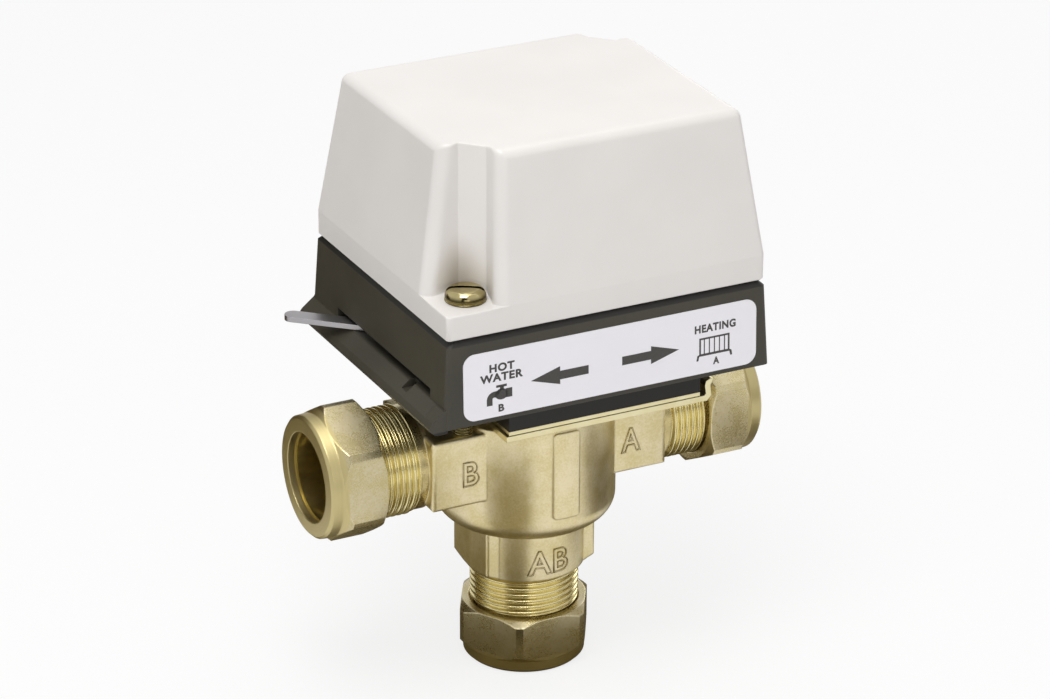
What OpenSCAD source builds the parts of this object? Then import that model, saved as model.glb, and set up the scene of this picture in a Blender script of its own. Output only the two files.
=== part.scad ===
// Three-port diverter valve: a brass tee body for 22 mm pipe under a powered head.
// Frame: the valve axis is Z, the two side ports lie along X, and the label side faces -Y.
// The origin is the centre of the bottom nut's mouth.

/* [Pipe and compression joints] */
// Outside diameter of the copper pipe that every port takes
pipe_d = 22; // [18:0.5:22]
// Root diameter of the male thread that each nut runs on
thread_d = 25.5; // [25:0.1:26.5]
// Distance across the flats of a compression nut
nut_flats = 31; // [30:0.5:34]
// Length of a compression nut
nut_len = 14.8; // [13.5:0.1:16]
// Length of the six-sided part of a nut, from its inner end
nut_hex_len = 10.2; // [9.4:0.1:11]
// Length of an olive, the soft brass ring inside each nut
olive_len = 6.4; // [5.6:0.1:6.8]

/* [Valve body] */
// Height of the side ports' axis above the mouth of the bottom nut
port_z = 59.4; // [58:0.1:64]
// Distance from the valve axis to the mouth of a side nut
side_reach = 58.8; // [57.6:0.1:64]
// Outside diameter of the chamber
chamber_d = 45.2; // [44.6:0.1:48]
// Height of the chamber's flat top above the port axis
chamber_up = 10.1; // [9.8:0.1:12]
// Depth of the chamber's outside bottom below the port axis
chamber_down = 20.5; // [19.5:0.1:22]
// Radius of the fillet round the bottom of the chamber
bowl_r = 5.5; // [3:0.1:7]
// Distance from the valve axis to the end of each side arm's block
arm_reach = 32; // [31:0.1:33]
// Width of the side arm block, front to back
arm_w = 28.8; // [28:0.1:32]
// Height of the side arm block
arm_h = 18.6; // [18:0.1:19.2]
// Width of the neck block below the chamber, side to side
neck_w = 30; // [29:0.1:32]
// Depth of the neck block, front to back
neck_depth = 19.1; // [18:0.1:24]
// Width of the raised bare panel on the front of the chamber
panel_w = 7.1; // [5:0.1:9]

/* [Valve mechanism] */
// Distance of the spindle in front of the port axis
spindle_y = 12.6; // [12:0.1:12.9]
// Length of the paddle arm from the spindle to the ball's centre
paddle_len = 14; // [13.6:0.1:14.4]
// Diameter of the rubber ball
ball_d = 15.2; // [14.6:0.1:15.8]
// Bore of the two seats that the ball closes
seat_d = 12.4; // [11:0.1:13]
// Diameter of the valve spindle
spindle_d = 6; // [5:0.1:6.4]

/* [Mounting plates] */
// Thickness of the plate screwed to the valve body
body_plate_t = 1.5; // [1.2:0.1:2]
// Thickness of the plate screwed under the powered head
head_plate_t = 1; // [0.8:0.1:1.4]
// Front-to-back width of both plates
plate_w = 46; // [44:0.5:50]
// Height of the hooked end of the lower plate above its underside
hook_h = 5.9; // [4:0.1:8]

/* [Base of the head] */
// Height of the base's outside wall
base_h = 20.65; // [20:0.05:23]
// Height of the plinth under the base
plinth_h = 9.2; // [8:0.1:11]
// Thickness of the base floor
floor_t = 2.5; // [2:0.1:2.6]
// How far the lip beside the lever slot stands out from the wall
lip_out = 3.8; // [3:0.1:5]
// Diameter of the cable inlet
inlet_d = 10; // [9:0.5:11]

/* [Cover] */
// Length of the cover at its skirt, side to side
cover_len = 85; // [84:0.1:89]
// Width of the cover at its skirt, front to back
cover_w = 74.1; // [73:0.1:78]
// Height of the upright skirt
skirt_h = 6.2; // [5:0.1:8]
// Height of the sloping part above the skirt
hood_h = 37.1; // [35:0.1:45]
// How far the sloping sides lean in over their height
hood_lean = 4.75; // [3:0.05:6]
// Wall thickness of the cover
cover_wall = 1.8; // [1.5:0.1:2.2]
// Width of each corner recess, side to side
recess_x = 15; // [14:0.1:15.6]
// Width of each corner recess, front to back
recess_y = 14.7; // [14:0.1:15.2]

/* [Drive] */
// Module of the gear teeth
gear_module = 1; // [1]
// Teeth that a full circle of the quadrant would have
quadrant_teeth = 60; // [58:2:60]
// Teeth on the motor pinion
pinion_teeth = 10; // [10]
// Length of the manual lever from the spindle
lever_len = 67; // [64:0.5:70]
// Width of the manual lever
lever_w = 4.2; // [3.6:0.1:5]
// Diameter of the synchronous motor
motor_d = 48; // [44:1:50]
// Height of the motor can
motor_h = 16; // [14:0.5:20]

/* [Hidden] */
$fn = 64;
eps = 0.01;
turn_gap = 0.05;      // radial clearance of a part that turns in a bore
fit_gap = 0.02;       // radial clearance of a part held fast in a bore
seat_gap = 0.1;       // face clearance where two pieces rest together
rub_gap = 0.3;        // least clearance between the rubber ball and its seats

// Compression joints, measured along a port from its nut's mouth
socket_r = pipe_d/2 + 0.15;
nut_hole_r = pipe_d/2 + 0.25;
olive_bore_r = pipe_d/2 + 0.12;
thread_r = thread_d/2;
nut_bore_r = thread_r + 0.1;
body_mouth = 7.8;                     // from the nut's mouth in to the end of the body's thread
socket_depth = 15.7;                  // from the end of the thread in to the pipe stop
olive_crown_r = thread_r - 0.25;
olive_end_r = olive_bore_r + 0.48;
olive_mid = body_mouth - 2.15;        // the olive's middle, from the nut's mouth
nut_cone_in = 4.3;                    // where the nut's inner cone starts
nut_cone_out = 1.8;                   // where it has closed to the pipe hole
nut_a_turn = 58;                      // how far each side nut's hexagon is turned
nut_b_turn = 55.5;

// Levels of the valve body
body_top = port_z + chamber_up;
chamber_r = chamber_d/2;
chamber_bottom = port_z - chamber_down;
bowl_top = chamber_bottom + bowl_r;
neck_end = 24.8;                      // level where the bottom thread starts
thread_start = arm_reach + 2.3;       // where a side thread starts, past its turned relief
relief_r = thread_r + 0.25;
waterway_r = 7.4;
outlet_r = 8.4;
bore_r = chamber_r - 4.4;             // inside radius of the chamber
chamber_floor = chamber_bottom + 4.6;
bonnet_r = chamber_r - 2.6;           // radius of the bonnet's counterbore
bonnet_flange = 3;
bonnet_rise = 6;                      // how far the bonnet's boss stands above the body's top
bonnet_boss_r = bonnet_r - 3.4;
bonnet_seat = body_top - bonnet_flange;
tap_x = 22.3;                         // tapped holes in the arm blocks
tap_y = (waterway_r + arm_w/2)/2 + 0.3;
tap_depth = 8;
screw_r = 2.3;

// Paddle and ball
swing = 2*acos(spindle_y/paddle_len);
ball_x = sqrt(paddle_len*paddle_len - spindle_y*spindle_y);
ball_r = ball_d/2;
seat_r = seat_d/2;
seat_x = ball_x + sqrt(pow(ball_r + rub_gap, 2) - seat_r*seat_r);
rest_angle = 90 - swing/2;            // direction of the paddle at rest, from +X
spindle_r = spindle_d/2;
pilot_r = spindle_r - 1;
pilot_top = chamber_floor + 4.5;
ring_r = 0.36;
seal_ring_r = 0.55;
rod_r = 2.2;                          // the paddle's rod, moulded into the ball
rod_end = 4;

// Plates
plate_x0 = -16.3;
plate_x1 = 37.6;
head_plate_x0 = plate_x0 + 0.6;
head_plate_x1 = plate_x1 - 1.2;
head_plate_z = body_top + body_plate_t + 0.2;
plinth_z = head_plate_z + head_plate_t;
plate_hole_r = bonnet_boss_r + 0.5;
notch_x = arm_reach - 1.5;            // notch that clears the thread of port A
notch_w = thread_d + 3.5;
hook_t = 1.4;

// Base
base_z = plinth_z + plinth_h;
head_x = 5.95;                        // centre of the head
head_y = 4.7;
draft_x = 1.2;                        // lean of the base walls over their height
draft_y = 0.65;
skirt_step = 0.35;                    // step from the base's wall in to the cover's skirt
joint_bevel = 1.45;
base_len = cover_len + 2*draft_x;     // size of the base at its bottom edge
base_w = cover_w + 2*(draft_y + skirt_step);
base_top = base_z + base_h;
rim_z = base_top + joint_bevel;
floor_z = base_z + floor_t;
cover_z = rim_z + seat_gap;
rim_gap = 0.15;
rim_t = 1.2;
rim_h = 2.4;
cavity_in = cover_wall + rim_gap + rim_t;
cavity_len = cover_len - 2*cavity_in;
cavity_w = cover_w - 2*cavity_in;
plinth_hole_r = plate_hole_r;
wall_x = head_x - base_len/2;
fold_z = base_z + 5;                  // where the lip leaves the wall
slot_y0 = -24.6;
slot_y1 = 28;
pocket_y1 = -13;
pocket_len = 3;                       // notch in the lip that holds the latched lever
pocket_in = 1.6;
pocket_w = 3.6;
pocket_depth = 1.9;
slot_z0 = fold_z + 0.1;
slot_z1 = fold_z + 2.5;
hub_r = 5;
inlet_x = 27.9;
clamp_len = 20;
clamp_pitch = 14;
clamp_t = 6;
lead_gap = 6;                         // side of the clamp's mouth and of the opening for the leads
inlet_z = base_z + 11;
back_y = head_y + base_w/2;

// Cover
skirt_z = cover_z + skirt_h;
hood_z = skirt_z + hood_h;
recess_cut = 5;
boss_in_x = 8.7;
boss_in_y = 8.2;
boss_dx = cover_len/2 - boss_in_x;
boss_dy = cover_w/2 - boss_in_y;
post_r = 4.5;
boss_r = 3.2;
cover_screw_r = 2;
cover_screw_head_r = 5;

// Quadrant, pinion and lever
mesh_angle = 45;                      // direction of the pinion from the spindle
shift = 0.4;                          // profile shift that keeps the small pinion from undercutting
quadrant_pitch_r = gear_module*quadrant_teeth/2;
pinion_pitch_r = gear_module*pinion_teeth/2;
gear_centres = quadrant_pitch_r + pinion_pitch_r;
pinion_x = gear_centres*cos(mesh_angle);
pinion_y = gear_centres*sin(mesh_angle) - spindle_y;
tooth_step = 360/quadrant_teeth;
spare_teeth = 1;
swing_teeth = ceil(swing/tooth_step) + spare_teeth;
lever_angle = 137.66;
lever_t = 1.3;
lever_z = fold_z + 0.35;
eye_r = 9.5;
gear_t = 1.8;
gear_z = lever_z + lever_t + seat_gap;
disc_r = 15.5;
rivet_at = 7.6;
rivet_r = 1.2;
cam_at = 13;
cam_angle = 140;
cam_r = 1.2;
spindle_top = gear_z;
hub_z = base_z - 2.4;
deck_z = floor_z + 16.1;
deck_t = 1.5;
deck_edge = 0.4;

// Motor
case_h = 8.5;
motor_x = 14;
motor_y = 8;
motor_r = motor_d/2;
case_z = deck_z + deck_t;
ear_at = motor_r + 5;
shaft_r = 1.6;
motor_screw_r = 1.5;

// Microswitch
switch_len = 16;
switch_depth = 8.5;
switch_t = 6;
cam_end_x = cam_at*cos(cam_angle + swing);
cam_end_y = cam_at*sin(cam_angle + swing) - spindle_y;
plunger_travel = 0.6;
plunger_face = cam_end_y - cam_r - seat_gap + plunger_travel;
switch_face = plunger_face - 1.2;
plunger_x = cam_end_x;
switch_x = plunger_x - 1;
switch_z = deck_z - switch_t - seat_gap;

// Return spring
spring_r = hub_r + 1.3;
wire_r = 0.5;
spring_turns = 4.5;
spring_z0 = gear_z + gear_t + wire_r + 0.6;
spring_z1 = deck_z - wire_r - seat_gap;
spring_sides = 8;
spring_steps = 20;

// ---- shared shapes ----

// Rectangle with round corners, centred
module round_rect(w, h, r) {
    square([w - 2*r, h], center = true);
    square([w, h - 2*r], center = true);
    for (x = [-1, 1], y = [-1, 1])
        translate([x*(w/2 - r), y*(h/2 - r)]) circle(r);
}

// Block with rounded edges along all three directions, centred
module soft_block(w, d, h, r) {
    intersection() {
        linear_extrude(h, center = true) round_rect(w, d, r);
        rotate([90, 0, 0]) linear_extrude(d, center = true) round_rect(w, h, r);
        rotate([90, 0, 90]) linear_extrude(w, center = true) round_rect(d, h, r);
    }
}

// Turned ring from a list of [radius, height] points
module turned(points) {
    rotate_extrude() polygon(points);
}

// Puts a port's own frame, its mouth at z = 0 and the valve at +z, onto one of the three ports
module at_port(name) {
    if (name == "ab") children();
    if (name == "a") translate([side_reach, 0, port_z]) rotate([0, -90, 0]) children();
    if (name == "b") translate([-side_reach, 0, port_z]) rotate([0, 90, 0]) children();
}

// Places children at the two tapped holes of one arm block
module at_taps(x) {
    for (s = [-1, 1]) translate([x, s*tap_y, 0]) children();
}

// Places children at both recessed corners of the cover, or at the other two corners
module at_corners(recessed) {
    for (s = [-1, 1])
        translate([head_x + s*boss_dx, head_y + (recessed ? s : -s)*boss_dy, 0]) children();
}

// ---- valve body ----

module side_arm_outside() {
    translate([0, 0, port_z]) {
        soft_block(2*arm_reach, arm_w, arm_h, 1);
        for (a = [-90, 90]) rotate([0, a, 0]) {
            translate([0, 0, arm_reach - 1]) cylinder(r = relief_r, h = thread_start - arm_reach + 1);
            translate([0, 0, arm_reach]) cylinder(r = thread_r, h = side_reach - body_mouth - arm_reach);
        }
    }
}

module neck_outside() {
    cone_start = neck_end + 1.2;
    intersection() {
        union() {
            translate([0, 0, neck_end]) cylinder(r = neck_w/2 + 0.1, h = bowl_top - neck_end);
            translate([0, 0, (neck_end + bowl_top)/2])
                soft_block(neck_w, neck_depth, bowl_top - neck_end, 0.8);
        }
        turned([[0, neck_end], [relief_r + 1, neck_end], [neck_w/2 + 1, cone_start],
                [neck_w, cone_start + 7], [neck_w, bowl_top], [0, bowl_top]]);
    }
    translate([0, 0, body_mouth]) cylinder(r = thread_r, h = neck_end - body_mouth + eps);
}

module chamber_outside() {
    rotate_extrude() {
        translate([0, bowl_top]) square([chamber_r, body_top - bowl_top]);
        translate([0, chamber_bottom]) square([chamber_r - bowl_r, bowl_r]);
        translate([0, bowl_top]) intersection() {
            translate([chamber_r - bowl_r, 0]) circle(bowl_r);
            translate([0, -bowl_r]) square([chamber_r, 2*bowl_r]);
        }
    }
    panel_low = port_z - 13.5;
    panel_high = port_z + 9.5;
    intersection() {
        translate([0, 0, panel_low]) cylinder(r = chamber_r + 0.7, h = panel_high - panel_low);
        translate([0, -chamber_r, (panel_low + panel_high)/2]) rotate([90, 0, 0])
            linear_extrude(8, center = true) round_rect(panel_w, panel_high - panel_low, 1);
    }
}

// Pipe socket with its stop, and the chamfer that the olive beds in
module socket_cut() {
    translate([0, 0, body_mouth - eps]) cylinder(r = socket_r, h = socket_depth + eps);
    translate([0, 0, body_mouth - eps])
        cylinder(r1 = olive_crown_r, r2 = socket_r, h = 1.8);
}

module valve_body() {
    color("darkkhaki") {
        difference() {
            union() {
                chamber_outside();
                side_arm_outside();
                neck_outside();
            }
            for (p = ["a", "b", "ab"]) at_port(p) socket_cut();
            translate([0, 0, port_z]) rotate([0, 90, 0])
                cylinder(r = waterway_r, h = 2*(side_reach - body_mouth - socket_depth) + 1, center = true);
            translate([0, 0, body_mouth]) cylinder(r = outlet_r, h = chamber_floor);
            translate([0, 0, chamber_floor]) cylinder(r = bore_r, h = body_top);
            translate([0, 0, bonnet_seat]) cylinder(r = bonnet_r, h = body_top);
            for (x = [-tap_x, tap_x]) at_taps(x)
                translate([0, 0, port_z + arm_h/2 - tap_depth]) cylinder(r = screw_r + fit_gap, h = 2*tap_depth);
        }
        // seats for the ball, standing in from the chamber wall
        for (s = [0, 180]) rotate([0, 0, s]) intersection() {
            translate([0, 0, port_z]) rotate([0, 90, 0]) difference() {
                translate([0, 0, seat_x]) cylinder(r = seat_r + 2, h = bore_r + 1.5 - seat_x);
                cylinder(r = seat_r, h = 2*bore_r);
            }
            translate([0, -bore_r, chamber_floor]) cube([2*bore_r, 2*bore_r, bonnet_seat - seat_gap - chamber_floor]);
        }
        // pilot bearing of the spindle on the chamber floor
        translate([0, -spindle_y, 0]) difference() {
            translate([0, 0, chamber_floor - 1]) cylinder(r = pilot_r + 1.6, h = pilot_top - chamber_floor + 1);
            translate([0, 0, chamber_floor]) cylinder(r = pilot_r + turn_gap, h = 10);
        }
    }
}

module bonnet() {
    color("darkkhaki") difference() {
        union() {
            translate([0, 0, bonnet_seat]) cylinder(r = bonnet_r - turn_gap, h = bonnet_flange);
            translate([0, 0, bonnet_seat]) cylinder(r = bonnet_boss_r, h = bonnet_flange + bonnet_rise);
        }
        translate([0, 0, bonnet_seat - eps]) cylinder(r = bonnet_boss_r - 3.6, h = 3.5);
        translate([0, 0, bonnet_seat - eps]) difference() {
            cylinder(r = bonnet_r - 0.25, h = 2*seal_ring_r + seat_gap);
            translate([0, 0, -1]) cylinder(r = bore_r + 0.25, h = 4);
        }
        translate([0, -spindle_y, bonnet_seat - 1]) cylinder(r = spindle_r + turn_gap, h = 20);
    }
}

module bonnet_seal() {
    color("black") translate([0, 0, bonnet_seat + seal_ring_r])
        rotate_extrude() translate([(bore_r + bonnet_r)/2, 0]) circle(seal_ring_r);
}

module spindle() {
    color("silver") translate([0, -spindle_y, 0]) difference() {
        union() {
            translate([0, 0, chamber_floor + 0.8]) cylinder(r = pilot_r, h = spindle_top - chamber_floor - 0.8);
            translate([0, 0, pilot_top + 0.3]) cylinder(r = spindle_r, h = spindle_top - pilot_top - 0.3);
        }
        for (z = seal_levels()) translate([0, 0, z - ring_r - 0.02]) difference() {
            cylinder(r = spindle_r + 1, h = 2*ring_r + 0.04);
            cylinder(r = spindle_r - 2*ring_r, h = 2);
        }
    }
}

function seal_levels() = [body_top + 1.4, body_top + 4.2];

module spindle_seals() {
    color("black") for (z = seal_levels()) translate([0, -spindle_y, z])
        rotate_extrude() translate([spindle_r - ring_r + fit_gap, 0]) circle(ring_r);
}

// The paddle's frame: the spindle on Z, the arm along +X
module at_paddle() {
    translate([0, -spindle_y, port_z]) rotate([0, 0, rest_angle]) children();
}

module paddle_arm() {
    color("darkgoldenrod") at_paddle() difference() {
        union() {
            cylinder(r = spindle_r + 1.6, h = 9, center = true);
            rotate([0, 90, 0]) cylinder(r = rod_r, h = paddle_len + rod_end);
        }
        cylinder(r = spindle_r + fit_gap, h = 12, center = true);
    }
}

module valve_ball() {
    color("dimgray") at_paddle() translate([paddle_len, 0, 0]) difference() {
        sphere(ball_r);
        translate([-2*ball_r, 0, 0]) rotate([0, 90, 0]) cylinder(r = rod_r + fit_gap, h = 2*ball_r + rod_end + seat_gap);
    }
}

// ---- compression joints ----

// Nut with its hexagon turned by the given angle; mouth at z = 0, body side at +z
module nut(turn) {
    corner_r = nut_flats/2/cos(30);
    soft_r = corner_r - 0.55;
    face_r = nut_flats/2 - 0.25;
    hex_start = nut_len - nut_hex_len;
    difference() {
        intersection() {
            rotate([0, 0, turn]) cylinder(r = corner_r, h = nut_len, $fn = 6);
            turned([[0, 0], [face_r - 0.7, 0], [face_r, 0.7], [nut_flats/2 - 0.05, hex_start - 1.4],
                    [soft_r, hex_start + 0.6], [soft_r, nut_len - 1.3],
                    [nut_flats/2 + 0.1, nut_len], [0, nut_len]]);
        }
        translate([0, 0, -eps]) cylinder(r = nut_hole_r, h = nut_len);
        translate([0, 0, nut_cone_out]) cylinder(r1 = nut_hole_r, r2 = nut_bore_r, h = nut_cone_in - nut_cone_out);
        translate([0, 0, nut_cone_in - eps]) cylinder(r = nut_bore_r, h = nut_len);
        translate([0, 0, nut_len - 0.9]) cylinder(r1 = nut_bore_r, r2 = nut_bore_r + 1, h = 0.9 + eps);
    }
}

module olive() {
    half = olive_len/2;
    translate([0, 0, olive_mid])
        turned([[olive_bore_r, -half], [olive_end_r, -half], [olive_crown_r - 0.1, -0.8],
                [olive_crown_r - 0.1, 0.8], [olive_end_r, half], [olive_bore_r, half]]);
}

module port_a_nut() { color("darkkhaki") at_port("a") nut(nut_a_turn); }
module port_b_nut() { color("darkkhaki") at_port("b") nut(nut_b_turn); }
module port_ab_nut() { color("darkkhaki") at_port("ab") nut(0); }
module port_a_olive() { color("goldenrod") at_port("a") olive(); }
module port_b_olive() { color("goldenrod") at_port("b") olive(); }
module port_ab_olive() { color("goldenrod") at_port("ab") olive(); }

// ---- plates between the body and the head ----

module plate_blank(x0, x1, t) {
    difference() {
        translate([x0, -plate_w/2, 0]) cube([x1 - x0, plate_w, t]);
        translate([0, 0, -1]) cylinder(r = plate_hole_r, h = t + 2);
        translate([notch_x, -notch_w/2, -1]) cube([x1, notch_w, t + hook_h]);
    }
}

module body_plate() {
    color("khaki") translate([0, 0, body_top]) difference() {
        union() {
            plate_blank(plate_x0, plate_x1, body_plate_t);
            // the right-hand end turns up in a hook that the upper plate slides behind
            for (y = [-notch_w/2, plate_w/2]) translate([plate_x1, y, 0]) rotate([90, 0, 0])
                linear_extrude((plate_w - notch_w)/2) polygon([
                    [-eps, 0], [0.9, 0], [hook_t + 0.6, 1.2], [hook_t + 0.3, hook_h - 2],
                    [hook_t + 1.1, hook_h - 0.2], [hook_t + 0.4, hook_h], [0.5, hook_h - 0.6],
                    [0.2, hook_h - 1.8], [0.5, body_plate_t + 0.4], [-eps, body_plate_t]]);
        }
        at_taps(tap_x) translate([0, 0, -1]) cylinder(r = screw_r + 0.1, h = 10);
        at_taps(tap_x) translate([0, 0, body_plate_t - 1.1])
            cylinder(r1 = screw_r + 0.1, r2 = screw_r + 1.3, h = 1.2);
    }
}

module body_plate_screws() {
    color("silver") at_taps(tap_x) {
        translate([0, 0, port_z + arm_h/2 - tap_depth + 1])
            cylinder(r = screw_r, h = body_top + body_plate_t - port_z - arm_h/2 + tap_depth - 1.1);
        translate([0, 0, body_top + body_plate_t - 1.1]) cylinder(r1 = screw_r, r2 = screw_r + 1, h = 1);
    }
}

// Places children at the four screws of the upper plate
module at_head_plate_screws() {
    for (x = [head_plate_x0 + 3.5, head_plate_x1 - 4], s = [-1, 1])
        translate([x, s*(plate_w/2 - 3.6), 0]) children();
}

module head_plate() {
    color("khaki") translate([0, 0, head_plate_z]) difference() {
        plate_blank(head_plate_x0, head_plate_x1, head_plate_t);
        at_head_plate_screws() translate([0, 0, -eps]) cylinder(r1 = 2.6, r2 = 1.5, h = head_plate_t + 0.1);
    }
}

module head_plate_screws() {
    color("silver") at_head_plate_screws() {
        translate([0, 0, head_plate_z + 0.05]) cylinder(r1 = 2.4, r2 = 1.3, h = head_plate_t - 0.1);
        translate([0, 0, head_plate_z + 0.5]) cylinder(r = 1.3, h = 6);
    }
}

module locking_screws() {
    low = port_z + arm_h/2 - tap_depth + 1;
    color("silver") at_taps(-tap_x) {
        translate([0, 0, low]) cylinder(r = screw_r, h = floor_z - low + 1);
        translate([0, 0, floor_z + seat_gap]) difference() {
            cylinder(r = 4, h = 2);
            translate([-5, -0.5, 1.1]) cube([10, 1, 2]);
        }
    }
}

// ---- base ----

// Thin rounded slab used as one level of a drafted box
module level(len, w, r, z) {
    translate([head_x, head_y, z]) linear_extrude(0.02) round_rect(len - 0.02, w - 0.02, r, $fn = 32);
}

module base_outside() {
    hull() {
        level(base_len, base_w, 1.2, base_z);
        level(base_len - 2*draft_x, base_w - 2*draft_y, 1.2, base_top);
        level(base_len - 2*draft_x - 2*joint_bevel, base_w - 2*draft_y - 2*joint_bevel, 1.2, rim_z - 0.02);
    }
}

module rim_box(extra, z0, z1) {
    translate([head_x, head_y, z0]) linear_extrude(z1 - z0)
        round_rect(cavity_len + 2*extra, cavity_w + 2*extra, 1 + extra);
}

// Sloping lip along the left wall, below the slot that the lever comes out of
module lever_lip() {
    out = wall_x - lip_out;
    y0 = head_y - base_w/2 + 0.4;
    y1 = head_y + base_w/2 - 0.4;
    translate([0, y1, 0]) rotate([90, 0, 0]) linear_extrude(y1 - y0)
        polygon([[wall_x + 1, fold_z + 1], [wall_x + 0.35, fold_z], [out + 0.9, fold_z - 2.6],
                 [out, fold_z - 3.9], [out + 0.3, base_z + 0.2], [out + 1.6, base_z + 0.2],
                 [wall_x + 0.3, fold_z - 2.4], [wall_x + 1, fold_z - 2.6]]);
    // closed front end of the lip
    translate([0, y0 + 4.4, 0]) rotate([90, 0, 0]) linear_extrude(4.4)
        polygon([[wall_x + 1, fold_z], [wall_x - 0.2, fold_z], [out + 0.9, fold_z - 2.6],
                 [out + 0.3, base_z + 0.2], [out + 1.6, base_z - 0.9], [wall_x + 1, base_z - 0.9]]);
}

module base() {
    color("dimgray") difference() {
        union() {
            difference() {
                base_outside();
                rim_box(0, floor_z, rim_z + 1);
            }
            difference() {
                rim_box(rim_t, rim_z - 2, rim_z + rim_h);
                rim_box(0, rim_z - 3, rim_z + rim_h + 1);
            }
            lever_lip();
            // plinth that stands on the upper plate
            translate([head_plate_x0, -plate_w/2, plinth_z])
                cube([head_plate_x1 - head_plate_x0, plate_w, plinth_h + eps]);
            at_corners(true) {
                translate([0, 0, floor_z - eps]) cylinder(r = post_r, h = deck_z - floor_z);
                translate([0, 0, floor_z]) cylinder(r = boss_r, h = rim_z - floor_z);
            }
            at_corners(false) translate([0, 0, floor_z - eps]) cylinder(r = post_r, h = deck_z - floor_z);
            // bearing for the quadrant's hub
            translate([0, -spindle_y, floor_z - eps]) cylinder(r = hub_r + 1.6, h = 0.8);
        }
        // slot that the lever swings in, and the notch in the lip where it latches
        translate([wall_x - 1, slot_y0, slot_z0]) cube([8, slot_y1 - slot_y0, slot_z1 - slot_z0]);
        translate([wall_x - pocket_in, pocket_y1 - pocket_len, fold_z - pocket_depth])
            cube([pocket_w, pocket_len, pocket_depth + 1]);
        translate([0, 0, plinth_z - 1]) cylinder(r = plinth_hole_r, h = bonnet_rise - body_plate_t + 2);
        translate([notch_x, 0, port_z]) rotate([0, 90, 0]) cylinder(d = notch_w, h = 20);
        translate([0, -spindle_y, plinth_z]) cylinder(r = hub_r + turn_gap, h = 30);
        at_taps(-tap_x) translate([0, 0, base_z - 1]) cylinder(r = screw_r + 0.3, h = 10);
        at_head_plate_screws() translate([0, 0, plinth_z - 1]) cylinder(r = 1.3 + fit_gap, h = 7);
        at_corners(true) translate([0, 0, rim_z - 14]) cylinder(r = cover_screw_r + fit_gap, h = 20);
        at_corners(false) translate([0, 0, deck_z - 9]) cylinder(r = motor_screw_r + fit_gap, h = 20);
        translate([inlet_x, back_y - 9, inlet_z]) rotate([-90, 0, 0]) cylinder(r = inlet_d/2 + seat_gap, h = 12);
        at_clamp_screws() translate([0, 0, floor_z - 1.8]) cylinder(r = 1.2 + fit_gap, h = 4);
    }
}

label_len = 78.6;
label_h = 16.9;
label_t = 0.2;

module label() {
    lean = atan(draft_y/base_h);
    mid = label_h/2 + 1.2;
    face_y = head_y - base_w/2 + mid*draft_y/base_h;
    color("white") translate([head_x + 0.55, face_y - 0.02, base_z + mid]) rotate([90 - lean, 0, 0])
        linear_extrude(label_t) round_rect(label_len, label_h, 3);
}

module cable_grommet() {
    color("black") translate([inlet_x, head_y + cavity_w/2, inlet_z]) rotate([-90, 0, 0]) difference() {
        union() {
            translate([0, 0, -1.6]) cylinder(r = inlet_d/2 + 1.5, h = 1.5);
            translate([0, 0, -0.5]) cylinder(r = inlet_d/2, h = base_w/2 - cavity_w/2 + 0.4);
        }
        translate([0, 0, -3]) cylinder(r = inlet_d/2 - 1.4, h = 12);
    }
}

clamp_y = head_y + cavity_w/2 - 12;

// Places children at the two screws of the cable clamp
module at_clamp_screws() {
    for (s = [-1, 1]) translate([inlet_x + s*clamp_pitch/2, clamp_y, 0]) children();
}

module cable_clamp() {
    top = inlet_z + inlet_d/2 - 0.4;
    color("ivory") difference() {
        translate([inlet_x, clamp_y, (floor_z + seat_gap + top)/2])
            soft_block(clamp_len, clamp_t, top - floor_z - seat_gap, 1);
        translate([inlet_x, clamp_y, inlet_z]) rotate([90, 0, 0])
            cylinder(r = inlet_d/2 - 1.4, h = clamp_t + 4, center = true);
        translate([inlet_x - lead_gap/2, clamp_y - clamp_t/2 - 2, inlet_z - 4])
            cube([lead_gap, clamp_t + 4, 4]);
        at_clamp_screws() translate([0, 0, floor_z]) cylinder(r = 1.3, h = 20);
    }
}

module clamp_screws() {
    top = inlet_z + inlet_d/2 - 0.4;
    color("silver") at_clamp_screws() {
        translate([0, 0, floor_z - 1.6]) cylinder(r = 1.2, h = top - floor_z + 2);
        translate([0, 0, top + 0.05]) cylinder(r = 2.2, h = 1.4);
    }
}

// ---- gear train ----

// Point on an involute of the base circle rb, unwound by t degrees
function involute(rb, t) = [rb*(cos(t) + t*PI/180*sin(t)), rb*(sin(t) - t*PI/180*cos(t))];
function turned_by(p, a) = [p[0]*cos(a) - p[1]*sin(a), p[0]*sin(a) + p[1]*cos(a)];
function flipped(p) = [p[0], -p[1]];

// One gear tooth about +X: two involute flanks of 20 degrees pressure angle, shifted by x modules
module tooth(teeth, x, root_r, tip_r) {
    pressure = 20;
    slack = 0.09;
    steps = 5;
    pitch_r = gear_module*teeth/2;
    rb = pitch_r*cos(pressure);
    foot_r = root_r - 0.15;
    start = foot_r > rb ? acos(rb/foot_r) : 0;
    t0 = tan(start)*180/PI;
    t1 = tan(acos(rb/tip_r))*180/PI;
    half = ((PI/2 + 2*x*tan(pressure))*gear_module - slack)/2/pitch_r*180/PI;
    lead = half + (tan(pressure)*180/PI - pressure);
    flank = [for (i = [0:steps]) turned_by(involute(rb, t0 + (t1 - t0)*i/steps), -lead)];
    foot = turned_by([root_r - 0.6, 0], -lead);
    polygon(concat([foot], flank, [for (i = [steps:-1:0]) flipped(flank[i])], [flipped(foot)]));
}

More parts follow.
